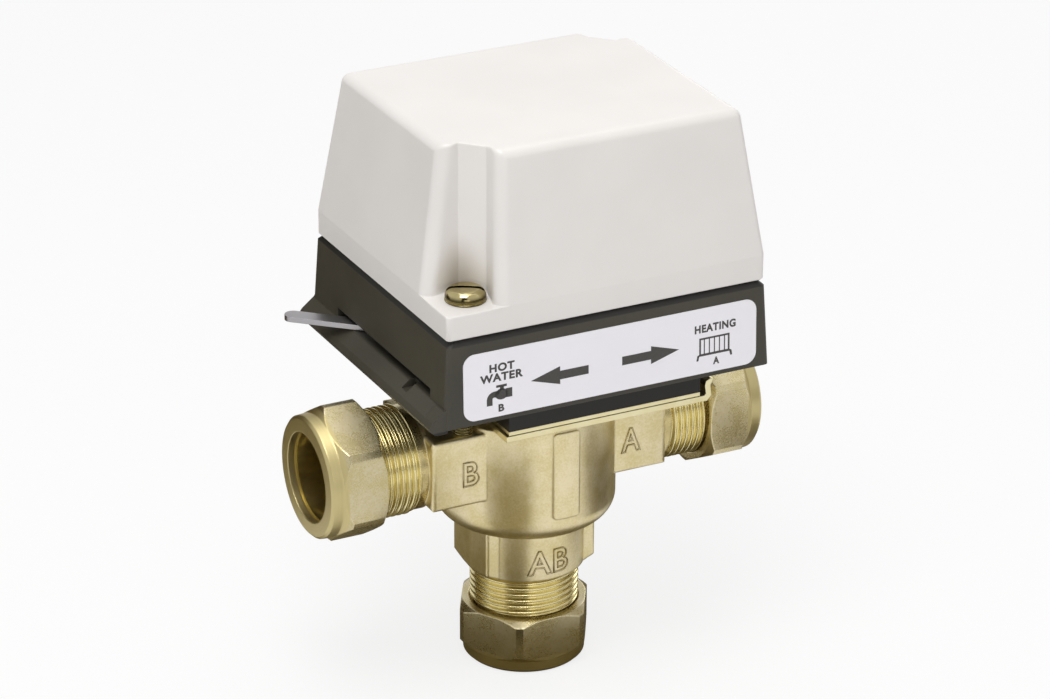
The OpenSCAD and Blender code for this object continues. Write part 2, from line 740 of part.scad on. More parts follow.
module quadrant_gear() {
    tip_r = quadrant_pitch_r + gear_module*(1 - shift);
    root_r = quadrant_pitch_r - gear_module*(1.25 + shift);
    first = mesh_angle - swing_teeth*tooth_step;
    last = mesh_angle + spare_teeth*tooth_step;
    span = last - first;
    far = 2*root_r;
    color("gainsboro") translate([0, -spindle_y, 0]) difference() {
        union() {
            translate([0, 0, gear_z]) linear_extrude(gear_t) {
                circle(disc_r);
                for (k = [-swing_teeth:spare_teeth]) rotate(mesh_angle + k*tooth_step)
                    tooth(quadrant_teeth, -shift, root_r, tip_r);
                rotate(first - tooth_step/2) difference() {
                    intersection() {
                        circle(root_r, $fn = 180);
                        polygon([[0, 0], [far, 0], far*[cos(span/2), sin(span/2)],
                                 far*[cos(span + tooth_step), sin(span + tooth_step)]]);
                    }
                    // lightening slot between the disc and the toothed rim
                    difference() {
                        circle(root_r - 3.5);
                        circle(disc_r + 2);
                        for (a = [6, span/2 + tooth_step/2, span + tooth_step - 6]) rotate(a)
                            translate([0, -2.5]) square([2*root_r, 5]);
                        rotate(span + tooth_step) translate([-far, 0]) square([2*far, far]);
                        rotate(180) translate([-far, 0]) square([2*far, far]);
                    }
                }
            }
            translate([0, 0, hub_z]) cylinder(r = hub_r, h = deck_z - seat_gap - hub_z);
            translate([0, 0, gear_z]) cylinder(r = spindle_r, h = deck_z + deck_t - gear_z);
        }
        translate([0, 0, hub_z - 1]) cylinder(r = spindle_r + fit_gap, h = spindle_top - hub_z + 1.1);
        at_rivets() translate([0, 0, gear_z - 1]) cylinder(r = rivet_r + fit_gap, h = 5);
    }
    // pin that works the microswitch
    color("silver") translate([0, -spindle_y, 0]) rotate(cam_angle)
        translate([cam_at, 0, gear_z + gear_t - eps]) cylinder(r = cam_r, h = switch_z + switch_t - gear_z - gear_t);
}

module motor_pinion() {
    tip_r = pinion_pitch_r + gear_module*(1 + shift);
    root_r = pinion_pitch_r - gear_module*(1.25 - shift);
    low = gear_z - 0.5;
    color("white") translate([pinion_x, pinion_y, 0]) {
        translate([0, 0, low]) linear_extrude(gear_t + 1) {
            circle(root_r);
            for (k = [0:pinion_teeth - 1]) rotate(mesh_angle + 180 + (k + 0.5)*360/pinion_teeth)
                tooth(pinion_teeth, shift, root_r, tip_r);
        }
        translate([0, 0, low]) cylinder(r = 3, h = deck_z - seat_gap - low);
        translate([0, 0, deck_z - 1]) cylinder(r = shaft_r, h = case_z + 4 - deck_z);
    }
}

// Places children at the two rivets that hold the lever to the quadrant
module at_rivets() {
    for (a = [lever_angle - 90, lever_angle + 90]) rotate(a) translate([rivet_at, 0, 0]) children();
}

module manual_lever() {
    color("silver") translate([0, -spindle_y, lever_z]) difference() {
        linear_extrude(lever_t) {
            circle(eye_r);
            rotate(lever_angle) {
                translate([0, -lever_w/2]) square([lever_len - lever_w/2, lever_w]);
                translate([lever_len - lever_w/2, 0]) circle(lever_w/2);
            }
        }
        translate([0, 0, -1]) cylinder(r = hub_r + fit_gap, h = 5);
        at_rivets() translate([0, 0, -1]) cylinder(r = rivet_r + fit_gap, h = 5);
    }
}

module lever_rivets() {
    color("silver") translate([0, -spindle_y, 0]) at_rivets() {
        translate([0, 0, lever_z - 0.1]) cylinder(r = rivet_r, h = gear_z + gear_t - lever_z + 0.3);
        translate([0, 0, lever_z - 0.75]) cylinder(r = rivet_r + 0.8, h = 0.7);
        translate([0, 0, gear_z + gear_t + 0.05]) cylinder(r = rivet_r + 0.6, h = 0.4);
    }
}

// Torsion spring round the hub: a helix swept by a ring of points, its ends on straight legs
module return_spring() {
    steps = spring_turns*spring_steps;
    function centre(i) = [spring_r*cos(360*i/spring_steps), spring_r*sin(360*i/spring_steps),
                          spring_z0 + (spring_z1 - spring_z0)*i/steps];
    function ring(i) = [for (j = [0:spring_sides - 1])
        let (a = 360*j/spring_sides, c = centre(i), b = 360*i/spring_steps)
        c + wire_r*[cos(a)*cos(b), cos(a)*sin(b), sin(a)]];
    points = [for (i = [0:steps]) each ring(i)];
    n = spring_sides;
    sides = [for (i = [0:steps - 1], j = [0:n - 1])
        [i*n + j, i*n + (j + 1)%n, (i + 1)*n + (j + 1)%n, (i + 1)*n + j]];
    first_cap = [[for (j = [n - 1:-1:0]) j]];
    last_cap = [[for (j = [0:n - 1]) steps*n + j]];
    color("silver") translate([0, -spindle_y, 0]) polyhedron(points, concat(sides, first_cap, last_cap));
}

// ---- deck, motor and switch ----

module deck_plate() {
    color("lightgray") difference() {
        translate([head_x, head_y, deck_z + 0.05]) linear_extrude(deck_t - 0.05)
            round_rect(cavity_len - 2*deck_edge, cavity_w - 2*deck_edge, 2);
        at_corners(true) translate([0, 0, deck_z - 1]) cylinder(r = boss_r + seat_gap, h = 5);
        at_corners(false) translate([0, 0, deck_z - 1]) cylinder(r = motor_screw_r + seat_gap, h = 5);
        translate([0, -spindle_y, deck_z - 1]) cylinder(r = spindle_r + turn_gap, h = 5);
        translate([pinion_x, pinion_y, deck_z - 1]) cylinder(r = shaft_r + 0.4, h = 5);
        at_motor_screws() translate([0, 0, deck_z - 1]) cylinder(r = motor_screw_r + fit_gap, h = 5);
        at_switch_screws() translate([0, 0, deck_z - 1]) cylinder(r = 1.1 + fit_gap, h = 5);
        // opening for the leads behind the cable clamp
        translate([inlet_x - lead_gap, clamp_y - 14, deck_z - 1]) cube([2*lead_gap, 8, 5]);
    }
}

module pan_screw(head_z, head_r, head_h, r, length) {
    translate([0, 0, head_z - length]) cylinder(r = r, h = length + 0.5);
    translate([0, 0, head_z + 0.05]) cylinder(r = head_r, h = head_h);
}

module deck_screws() {
    color("silver") at_corners(false) pan_screw(case_z, 3, 1.8, motor_screw_r, 9);
}

// Places children at the motor's two screw ears
module at_motor_screws() {
    for (a = [135, 315]) translate([motor_x, motor_y, 0]) rotate(a) translate([ear_at, 0, 0]) children();
}

module motor_gear_case() {
    color("lightgray") difference() {
        union() {
            translate([motor_x, motor_y, case_z + seat_gap/2]) cylinder(r = motor_r, h = case_h);
            translate([motor_x, motor_y, case_z + 1 + seat_gap/2]) rotate([0, 0, 135])
                linear_extrude(2, center = true) round_rect(2*(ear_at + 4), 9, 4);
        }
        at_motor_screws() translate([0, 0, case_z - 1]) cylinder(r = motor_screw_r + fit_gap, h = 5);
        translate([pinion_x, pinion_y, case_z - 1]) cylinder(r = shaft_r + turn_gap, h = 7);
    }
}

module motor_can() {
    color("silver") translate([motor_x, motor_y, case_z + case_h + seat_gap]) {
        difference() {
            cylinder(r = motor_r - 1, h = motor_h);
            for (a = [0:60:359]) rotate(a) translate([motor_r*0.6, 0, motor_h - 0.8]) cylinder(r = 2, h = 2);
        }
        cylinder(r = motor_r, h = 1.2);
        translate([0, 0, motor_h - eps]) cylinder(r = 5, h = 1.5);
    }
}

module motor_screws() {
    color("silver") at_motor_screws() pan_screw(case_z + 2 + seat_gap/2, 2.8, 1.6, motor_screw_r, 4.5);
}

// Places children at the microswitch's two fixing screws
module at_switch_screws() {
    for (s = [-1, 1]) translate([switch_x + s*5, switch_face - switch_depth + 5, 0]) children();
}

module microswitch() {
    color("darkred") difference() {
        union() {
            translate([switch_x - switch_len/2, switch_face - switch_depth, switch_z])
                cube([switch_len, switch_depth, switch_t]);
            for (s = [-1, 0, 1]) translate([switch_x + s*5.6 - 1.2, switch_face - switch_depth + 1, switch_z - 3])
                cube([2.4, 0.5, 3.2]);
        }
        at_switch_screws() translate([0, 0, switch_z - 1]) cylinder(r = 1.2, h = 10);
        translate([plunger_x - 1.3, switch_face - 3, switch_z + switch_t/2 - 1.3]) cube([2.6, 4, 2.6]);
    }
}

module switch_plunger() {
    back = switch_face - 3 + plunger_travel + seat_gap;
    color("white") translate([plunger_x - 1.2, back, switch_z + switch_t/2 - 1.2])
        cube([2.4, plunger_face - back, 2.4]);
}

module switch_screws() {
    color("silver") at_switch_screws() {
        translate([0, 0, switch_z - 0.5]) cylinder(r = 1.1, h = case_z - switch_z);
        translate([0, 0, switch_z - 1.35]) cylinder(r = 2, h = 1.3);
    }
}

// ---- cover ----

// Drafted hood of the cover; inset shrinks it all round for the inside
module hood(inset, z0) {
    top_r = 2 - inset/2;
    hull() {
        level(cover_len - 2*inset, cover_w - 2*inset, 2.2, z0);
        level(cover_len - 2*inset, cover_w - 2*inset, 2.2, skirt_z + 0.3);
        for (x = [-1, 1], y = [-1, 1])
            translate([head_x + x*(cover_len/2 - hood_lean - inset - top_r),
                       head_y + y*(cover_w/2 - hood_lean - inset - top_r), hood_z - inset - top_r])
                sphere(top_r, $fn = 32);
    }
}

// Upright corner recess that takes a cover screw; grow thickens it for the inside
module recess(grow, z0) {
    wx = recess_x + grow;
    wy = recess_y + grow;
    cut = recess_cut + grow*0.586;
    for (a = [0, 180]) translate([head_x, head_y, z0]) rotate(a)
        translate([-cover_len/2, -cover_w/2, 0]) linear_extrude(hood_z)
            polygon([[-9, -9], [wx, -9], [wx, wy - cut], [wx - cut, wy], [-9, wy]]);
}

module cover() {
    color("whitesmoke") difference() {
        hood(0, cover_z);
        recess(0, skirt_z);
        difference() {
            hood(cover_wall, cover_z - 1);
            recess(cover_wall, skirt_z - cover_wall);
        }
        at_corners(true) translate([0, 0, skirt_z - 8]) cylinder(r = cover_screw_r + 0.3, h = 20);
    }
}

module cover_screws() {
    color("gold") at_corners(true) {
        translate([0, 0, rim_z - 10]) cylinder(r = cover_screw_r, h = skirt_z - rim_z + 10.5);
        translate([0, 0, skirt_z + 0.05]) cylinder(r = cover_screw_head_r, h = 0.6);
        translate([0, 0, skirt_z + 0.3]) difference() {
            cylinder(r1 = cover_screw_head_r - 0.5, r2 = cover_screw_head_r - 1.2, h = 2.5);
            rotate(-27) translate([-8, -0.6, 1.5]) cube([16, 1.2, 2]);
        }
    }
}

valve_body();
bonnet();
bonnet_seal();
spindle();
spindle_seals();
paddle_arm();
valve_ball();
port_a_nut();
port_b_nut();
port_ab_nut();
port_a_olive();
port_b_olive();
port_ab_olive();
body_plate();
body_plate_screws();
head_plate();
head_plate_screws();
locking_screws();
base();
label();
cable_grommet();
cable_clamp();
clamp_screws();
quadrant_gear();
manual_lever();
lever_rivets();
return_spring();
deck_plate();
deck_screws();
motor_can();
motor_gear_case();
motor_screws();
motor_pinion();
microswitch();
switch_plunger();
switch_screws();
cover();
cover_screws();
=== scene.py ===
"""Finish of the three-port diverter valve: brass tee body, compression nuts, dark base, pale cover.

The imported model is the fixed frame. This script gives every node its material and adds what a
drawing office leaves to the finisher: cut threads, the moulded cover, slotted screw heads, the cast
port letters and the print on the label. Sizes are in millimetres and turn into metres in the mesh.
Those in capitals are set here, and those in small letters are read from the frame.
"""

import math

import bpy
import numpy as np
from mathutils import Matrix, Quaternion, Vector


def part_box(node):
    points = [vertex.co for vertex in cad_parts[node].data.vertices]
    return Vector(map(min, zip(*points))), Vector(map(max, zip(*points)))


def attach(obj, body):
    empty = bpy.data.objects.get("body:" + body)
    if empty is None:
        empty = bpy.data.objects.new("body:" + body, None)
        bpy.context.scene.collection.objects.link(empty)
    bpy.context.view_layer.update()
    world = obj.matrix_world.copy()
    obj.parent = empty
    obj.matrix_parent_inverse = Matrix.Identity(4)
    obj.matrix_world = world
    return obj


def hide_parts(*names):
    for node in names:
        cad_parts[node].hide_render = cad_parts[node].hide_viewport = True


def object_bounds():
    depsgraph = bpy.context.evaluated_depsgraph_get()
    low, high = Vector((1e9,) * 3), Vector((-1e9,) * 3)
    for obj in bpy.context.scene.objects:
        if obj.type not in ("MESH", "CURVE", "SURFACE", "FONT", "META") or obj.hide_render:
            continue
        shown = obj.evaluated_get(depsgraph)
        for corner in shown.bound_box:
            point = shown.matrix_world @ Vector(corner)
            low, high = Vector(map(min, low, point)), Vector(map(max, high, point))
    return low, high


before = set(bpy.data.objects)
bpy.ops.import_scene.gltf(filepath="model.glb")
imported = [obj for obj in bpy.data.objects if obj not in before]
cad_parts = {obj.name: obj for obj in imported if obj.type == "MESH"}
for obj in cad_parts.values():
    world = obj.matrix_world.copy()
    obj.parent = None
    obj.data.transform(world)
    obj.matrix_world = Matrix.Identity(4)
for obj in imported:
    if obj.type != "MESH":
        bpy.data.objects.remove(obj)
cad_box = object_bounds()

MM = 0.001
FULL_TURN = 2 * math.pi


def box_mm(node):
    """Lowest and highest corner of a node, in millimetres."""
    low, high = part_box(node)
    return np.array(low) / MM, np.array(high) / MM


port_a_low, port_a_high = box_mm("port_a_nut")
port_b_low, port_b_high = box_mm("port_b_nut")
port_ab_low, port_ab_high = box_mm("port_ab_nut")
cover_low, cover_high = box_mm("cover")
base_low = box_mm("base")[0]
port_level = (port_a_low[2] + port_a_high[2]) / 2

SIDEWAYS, UPRIGHT = 0, 2   # number of the coordinate that a port's axis runs along
ARM_FACE = 32.0            # outer end of each side arm's block, from the middle
ARM_FRONT = -14.4          # front face of both blocks
ARM_HALF_HEIGHT = 9.3      # from the port level to a block's top
NECK_END = 24.8            # level where the bottom thread starts
SKIRT_HEIGHT = 6.2         # from the cover's bottom edge to the pads of its screws
pad_level = cover_low[2] + SKIRT_HEIGHT


# ---- meshes ----


def grid_faces(rows, columns, closed=True):
    """Quads between the rows of a grid of points; closed joins the last column to the first."""
    row = np.arange(rows - 1)[:, None]
    column = np.arange(columns if closed else columns - 1)[None, :]
    beside = (column + 1) % columns
    here, above = row * columns, (row + 1) * columns
    corners = [here + column, here + beside, above + beside, above + column]
    return np.stack(corners, -1).reshape(-1, 4)


def capped(rows, columns):
    """Faces of a tube of rows of points, with its first and last row closed by flat ends."""
    first = list(range(columns))[::-1]
    last = list(range((rows - 1) * columns, rows * columns))
    return [*grid_faces(rows, columns).tolist(), first, last]


def piece(name, points, faces, finish, smooth=True):
    """A finished piece of the housing, from points in millimetres and faces that point outwards."""
    mesh = bpy.data.meshes.new(name)
    mesh.from_pydata((points.reshape(-1, 3) * MM).tolist(), [], faces)
    mesh.update()
    mesh.polygons.foreach_set("use_smooth", np.full(len(mesh.polygons), smooth))
    made = bpy.data.objects.new(name, mesh)
    bpy.context.scene.collection.objects.link(made)
    mesh.materials.append(finish)
    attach(made, "housing")
    return made


# ---- finishes ----


def paint(tone, share=1.0):
    """A tone as seen on a screen, times a share, as the linear colour with alpha that shaders take."""
    seen = np.minimum(np.array(tone) * share, 1.0)
    linear = np.where(seen <= 0.04045, seen / 12.92, ((seen + 0.055) / 1.055) ** 2.4)
    return (*linear.tolist(), 1.0)


class Wire:
    """A shader value used in a Python expression; each operator adds one Math node."""

    def __init__(self, shading, socket):
        self.shading, self.socket = shading, socket

    def math(self, operation, first, second):
        """The result of one Math node."""
        return self.shading.node("Math", {"operation": operation}, {0: first, 1: second})

    def __add__(self, other):
        return self.math("ADD", self, other)

    def __sub__(self, other):
        return self.math("SUBTRACT", self, other)

    def __rsub__(self, other):
        return self.math("SUBTRACT", other, self)

    def __mul__(self, other):
        return self.math("MULTIPLY", self, other)

    def __pow__(self, other):
        return self.math("POWER", self, other)

    def __abs__(self):
        return self.math("ABSOLUTE", self, 0.0)

    __radd__ = __add__
    __rmul__ = __mul__


class Shading:
    """A node tree under construction."""

    def __init__(self, owner):
        owner.use_nodes = True
        self.tree = owner.node_tree
        self.tree.nodes.clear()

    def node(self, kind, settings=None, sockets=None, out=0):
        """Any node: its settings first, then the values or wires of its sockets.

        Returns the wire of one output, or the node itself where out is None.
        """
        made = self.tree.nodes.new("ShaderNode" + kind)
        for key, value in (settings or {}).items():
            setattr(made, key, value)
        for key, value in (sockets or {}).items():
            self.set(made.inputs[key], value)
        return made if out is None else Wire(self, made.outputs[out])

    def set(self, socket, value):
        """Links a wire to a socket, or sets the socket to a value."""
        if isinstance(value, Wire):
            self.tree.links.new(value.socket, socket)
        else:
            socket.default_value = value

    def largest(self, *values):
        """The largest of several values."""
        first, *others = values
        for other in others:
            first = self.node("Math", {"operation": "MAXIMUM"}, {0: first, 1: other})
        return first

    def ray(self, kind):
        """1 for the rays of one kind, such as Camera or Glossy, and 0 for the others."""
        return self.node("LightPath", out=f"Is {kind} Ray")


class Finish(Shading):
    """One material under construction: a Principled shader and the nodes that feed it."""

    def __init__(self, name, **constants):
        self.material = bpy.data.materials.new(name)
        super().__init__(self.material)
        self.shader = self.node("BsdfPrincipled", out=None)
        self.surface = Wire(self, self.shader.outputs[0])
        self.output = self.node("OutputMaterial", sockets={"Surface": self.surface}, out=None)
        self.feed(**constants)

    def feed(self, **sockets):
        """Sets or links the shader's own sockets: base_color feeds Base Color."""
        for key, value in sockets.items():
            name = key.replace("_", " ").title().replace("Ior", "IOR")
            self.set(self.shader.inputs[name], value)

    def place(self):
        """The point on the piece, in metres in the part's frame."""
        return self.node("TexCoord", out="Object")

    def axes(self, point=None):
        """The three coordinates of a point, which is the place unless another is given."""
        point = point or self.place()
        return [self.node("SeparateXYZ", sockets={0: point}, out=k) for k in range(3)]

    def noise(self, scale, detail=2.0, roughness=0.5, along=None, point=None):
        """Soft random value from 0 to 1 at a point, with this many waves to the metre.

        along multiplies the three coordinates, which draws the pattern out along the small ones.
        """
        point = point or self.place()
        if along:
            point = self.node("VectorMath", {"operation": "MULTIPLY"}, {0: point, 1: along})
        sockets = {"Vector": point, "Scale": scale, "Detail": detail, "Roughness": roughness}
        return self.node("TexNoise", sockets=sockets)

    def step(self, value, low, high):
        """0 below low, 1 above high and a smooth rise between them."""
        sockets = {"Value": value, "From Min": low, "From Max": high}
        return self.node("MapRange", {"interpolation_type": "SMOOTHSTEP"}, sockets)

    def rise(self, length, low_mm, high_mm):
        """The same step for a length in metres, between two lengths in millimetres."""
        return self.step(length, low_mm * MM, high_mm * MM)

    def mix(self, factor, first, second):
        """A colour between two colours."""
        return self.node("Mix", {"data_type": "RGBA"}, {0: factor, 6: first, 7: second}, out=2)

    def rounded(self, radius_mm):
        """The normal of the surface as if its edges were rounded by this radius."""
        return self.node("Bevel", {"samples": 6}, {"Radius": radius_mm * MM})

    def edges(self, width_mm):
        """Mask of edges rubbed bright, which also carry a painted highlight: 1 less the cosine between
        the rounded normal and the surface's own.
        """
        flat = self.node("NewGeometry", out="Normal")
        normals = {0: self.rounded(width_mm), 1: flat}
        cosine = self.node("VectorMath", {"operation": "DOT_PRODUCT"}, normals, out="Value")
        return self.step(1 - cosine, 0.01, 0.12)

    def tool_rings(self, at, axis):
        """Fine rings left by a turning tool: noise over the place along the axis and the radius about it.

        The radius is the root of the sum of the other two coordinates' squares, measured from the
        port's own axis.
        """
        first, second = [part for number, part in enumerate(at) if number != axis]
        if axis == SIDEWAYS:
            second = second - port_level * MM
        radius = (first * first + second * second) ** 0.5
        return self.noise(1500, 3, point=self.node("CombineXYZ", sockets={0: at[axis], 1: radius}))

    def relief(self, height, depth_mm, edge_mm=0.0):
        """Feeds Normal with a bump of this depth on edges rounded by this radius."""
        sockets = {"Height": height, "Distance": depth_mm * MM, "Strength": 1.0}
        if edge_mm:
            sockets["Normal"] = self.rounded(edge_mm)
        self.feed(normal=self.node("Bump", sockets=sockets))


BRASS_PALE = (0.93, 0.88, 0.735)    # blasted, where it is clean
BRASS_OLIVE = (0.86, 0.80, 0.59)    # blasted, where it has dulled
BRASS_RUBBED_AND_LIT = (0.96, 0.92, 0.78)     # edges rubbed bright, with a painted highlight
BRASS_CUT = (0.87, 0.80, 0.58)      # turned
BRASS_TUMBLED = (0.83, 0.77, 0.56)  # turned and then tumbled, as the nuts are


def stamped_brass(name, edge_mm, cut=None, axis=UPRIGHT, tone=1.0, rough=0.25, grit_mm=0.022,
                  cut_tone=BRASS_CUT, cut_rough=-0.06):
    """Blasted hot-stamped brass: fine grit, cloudy tone, worn edges with a painted highlight, and tool
    rings where it was turned.

    cut takes the three coordinates in metres and gives a mask that is 1 on turned faces; axis is the
    number of the coordinate that they were turned about, and cut_rough is how much rougher they are.
    """
    made = Finish(name, metallic=1.0)
    cloud = made.noise(150, 5, 0.6)
    grit = made.noise(1900, 3, 0.65)
    pits = made.step(made.noise(700, 2), 0.68, 0.76)
    patches = made.step(0.55 * cloud + 0.45 * grit, 0.36, 0.64)
    colour = made.mix(patches, paint(BRASS_OLIVE, tone), paint(BRASS_PALE, tone))
    rough = rough + 0.1 * cloud + 0.08 * grit
    height = 0.7 * grit - 0.4 * pits
    # edges: rubbed-bright wear and a painted highlight
    colour = made.mix(0.7 * made.edges(edge_mm), colour, paint(BRASS_RUBBED_AND_LIT))
    if cut:
        at = made.axes()
        mask = cut(made, at)
        rings = made.tool_rings(at, axis)
        turned = made.mix(rings, paint(cut_tone, 0.9), paint(cut_tone))
        colour = made.mix(mask, colour, turned)
        rough = rough + cut_rough * mask
        height = height * (1 - 0.75 * mask) + 0.55 * mask * rings
    made.feed(base_color=colour, roughness=rough)
    made.relief(height, grit_mm, edge_mm)
    return made.material


def cut_brass(name):
    """Freshly cut brass of threads and olives: yellow, fairly bright, with faint tool streaks."""
    made = Finish(name, metallic=1.0)
    streaks = made.noise(1500, 2)
    cloud = made.noise(160, 3)
    made.feed(
        base_color=made.mix(cloud, paint((0.89, 0.83, 0.60)), paint((0.97, 0.93, 0.74))),
        roughness=0.17 + 0.1 * streaks,
    )
    made.relief(streaks, 0.002)
    return made.material


def passivated_plate(name, edge_mm):
    """Zinc plate with a pale yellow passivate: slightly patchy and semi-bright."""
    made = Finish(name, metallic=1.0)
    cloud = made.noise(140, 4)
    grain = made.noise(900, 2, along=(1, 8, 1))
    made.feed(
        base_color=made.mix(cloud, paint((0.87, 0.81, 0.58)), paint((0.96, 0.93, 0.79))),
        roughness=0.24 + 0.14 * grain,
    )
    made.relief(grain, 0.006, edge_mm)
    return made.material


def bright_screw(name):
    """Shiny yellow-passivated screw, with painted shade on its upright walls and in its slot."""
    made = Finish(name, metallic=1.0)
    cloud = made.noise(500, 3)
    facing_up = made.axes(made.node("NewGeometry", out="True Normal"))[2]
    # painted shade: upright walls and the slot are darkened, and made rougher
    upright_shade = 1 - made.step(abs(facing_up), 0.15, 0.62)
    metal = made.mix(cloud, paint((0.66, 0.61, 0.42)), paint((0.82, 0.77, 0.58)))
    made.feed(
        base_color=made.mix(upright_shade, metal, paint((0.33, 0.29, 0.17))),
        roughness=0.08 + 0.1 * cloud + 0.08 * upright_shade,
    )
    made.relief(made.noise(1800, 2), 0.006, 0.12)
    return made.material


def bare_steel(name, tone, rough, along=None):
    """Steel strip, wire, shaft or can: rolled grain along the small coordinate and faint oil stains."""
    made = Finish(name, metallic=1.0)
    grain = made.noise(1400, 3, along=along)
    stain = made.noise(120, 4)
    made.feed(
        base_color=made.mix(stain, paint(tone, 0.86), paint(tone)),
        roughness=rough + 0.16 * grain,
    )
    made.relief(grain, 0.008, 0.15)
    return made.material


def moulded_plastic(name, tone, rough, edge_mm, grain_mm=0.012, spread=0.04, sheen=0.5, shade=None,
                    darkest=0.45):
    """Moulded plastic: faint tone drift, fine spark-eroded grain and a few dull rub marks.

    shade takes the three coordinates in metres and gives a mask of painted shade, 1 where the plastic is
    darkest, at this share of its tone, which is one number or one for each of red, green and blue.
    """
    made = Finish(name, specular_ior_level=sheen)
    drift = made.noise(35, 3)
    grain = made.noise(3200, 2)
    rubs = made.step(made.noise(260, 5, 0.65, along=(1, 1, 0.25)), 0.62, 0.8)
    colour = made.mix(made.step(drift, 0.3, 0.7), paint(tone, 1 - spread), paint(tone, 1 + spread))
    if shade:
        # painted shade, where the shade mask is 1
        colour = made.mix(shade(made, made.axes()), colour, paint(tone, darkest))
    made.feed(base_color=colour, roughness=rough + 0.1 * grain + 0.08 * rubs)
    made.relief(grain, grain_mm, edge_mm)
    return made.material


def soft_rubber(name):
    """Black rubber with a dull bloom."""
    made = Finish(name)
    bloom = made.noise(300, 4)
    made.feed(
        base_color=made.mix(bloom, paint((0.09, 0.09, 0.09)), paint((0.16, 0.155, 0.15))),
        roughness=0.62 + 0.15 * bloom,
    )
    made.relief(made.noise(2500, 2), 0.01)
    return made.material


def label_film(name):
    """White printed film with a faint lilac cast and a semi-gloss face."""
    made = Finish(name)
    drift = made.noise(60, 3)
    made.feed(
        base_color=made.mix(drift, paint((0.945, 0.935, 0.955)), paint((0.97, 0.96, 0.98))),
        roughness=0.34 + 0.08 * drift,
    )
    made.relief(made.noise(900, 2), 0.003)
    return made.material


def printing_ink(name):
    """Dark grey ink, slightly worn."""
    made = Finish(name)
    wear = made.noise(1800, 3)
    made.feed(
        base_color=made.mix(wear, paint((0.22, 0.21, 0.20)), paint((0.30, 0.29, 0.27))),
        roughness=0.42 + 0.1 * wear,
    )
    made.relief(wear, 0.002)
    return made.material


NUT_COLLAR = 4.2                 # from a nut's mouth to its hexagon
RECESS_SHADE_PLACE = (9.5, 13.8, 9.5)   # middle of the painted shade in the recesses, from the cover's corner and bottom edge
RECESS_SHADE_REACH = 7.2                # how far it spreads from there
RECESS_SHADE_FOOT = (-3.1, -1.2)        # from its middle: where it fades in over the pad of the screw
JOINT_BEVEL = (-1.70, -1.35)     # from the cover's bottom edge: where the painted shade on the bevel fades in
PLINTH_TOP = (8.90, 9.15)        # from the base's bottom edge: where the painted shade on the plinth fades out


def turned_on_body(finish, at):
    """Mask of the body's turned faces: thread roots, their reliefs and all that lies inside the ports."""
    past_arm = finish.rise(abs(at[0]), ARM_FACE + 0.05, ARM_FACE + 0.25)
    below_neck = finish.rise(NECK_END * MM - at[2], 0.0, 0.2)
    return finish.largest(past_arm, below_neck)


def turned_on_nut(axis, mouth, inward):
    """Mask of a nut's turned faces: the collar at its mouth and the cones and bore inside it."""

    def mask(finish, at):
        """1 from the mouth to the collar's depth, and 0 beyond it."""
        depth = (at[axis] - mouth * MM) * inward
        return 1 - finish.rise(depth, NUT_COLLAR, NUT_COLLAR + 0.3)

    return mask


def nut_brass(label, axis, mouth, inward, tone):
    """A compression nut's brass: finer than the body's on its flats and tumbled dull on its collar."""
    return stamped_brass(f"nut_{label}_brass", 0.45, turned_on_nut(axis, mouth, inward), axis, tone,
                         rough=0.19, grit_mm=0.013, cut_tone=BRASS_TUMBLED, cut_rough=0.10)


def recess_painted_shade(finish, at):
    """Mask of the shade painted low in the cover's two recesses, behind the screws.

    It falls from 1 to 0 over the distance from its middle, in which a height counts for less than a
    length across: the root of a * a + b * b + 0.35 * up * up.
    """
    x, y, z = at
    in_x, in_y, over_edge = RECESS_SHADE_PLACE
    up = z - (cover_low[2] + over_edge) * MM
    masks = []
    for corner, inward in ((cover_low, 1), (cover_high, -1)):
        away_x = x - (corner[0] + inward * in_x) * MM
        away_y = y - (corner[1] + inward * in_y) * MM
        away = (away_x * away_x + away_y * away_y + 0.35 * (up * up)) ** 0.5
        masks.append(finish.rise(up, *RECESS_SHADE_FOOT) * (1 - finish.rise(away, 0.0, RECESS_SHADE_REACH)))
    return masks[0] + masks[1]


def base_painted_shade(finish, at):
    """Mask of the shade painted on the base: on the bevelled joint line below the cover, and on the
    plinth.
    """
    joint = finish.rise(at[2], *(cover_low[2] + over_edge for over_edge in JOINT_BEVEL))
    over_plinth = finish.rise(at[2], *(base_low[2] + over_foot for over_foot in PLINTH_TOP))
    return joint + (1 - over_plinth)


body_brass = stamped_brass("stamped_brass", 0.7, turned_on_body)
thread_brass = cut_brass("thread_brass")
# the letters are painted darker than the body, for the shade along their raised outlines
shaded_letter_brass = stamped_brass("shaded_letter_brass", 0.2, tone=0.85)
yellow_screw = bright_screw("yellow_screw")
plain_steel = bare_steel("plain_steel", (0.72, 0.72, 0.71), 0.26)
ink = printing_ink("printing_ink")
# the cover gets painted shade low in its recesses, down to these shares of its tone
cover_white = moulded_plastic(
    "cover_plastic", (0.915, 0.90, 0.885), 0.28, edge_mm=0.0, grain_mm=0.004, spread=0.008,
    sheen=0.45, shade=recess_painted_shade, darkest=(0.82, 0.80, 0.765),
)
# the base gets painted shade on its joint bevel and its plinth, at 0.45 of its tone
base_grey = moulded_plastic(
    "base_plastic", (0.25, 0.238, 0.20), 0.42, edge_mm=0.3, grain_mm=0.014, spread=0.07,
    sheen=0.38, shade=base_painted_shade,
)

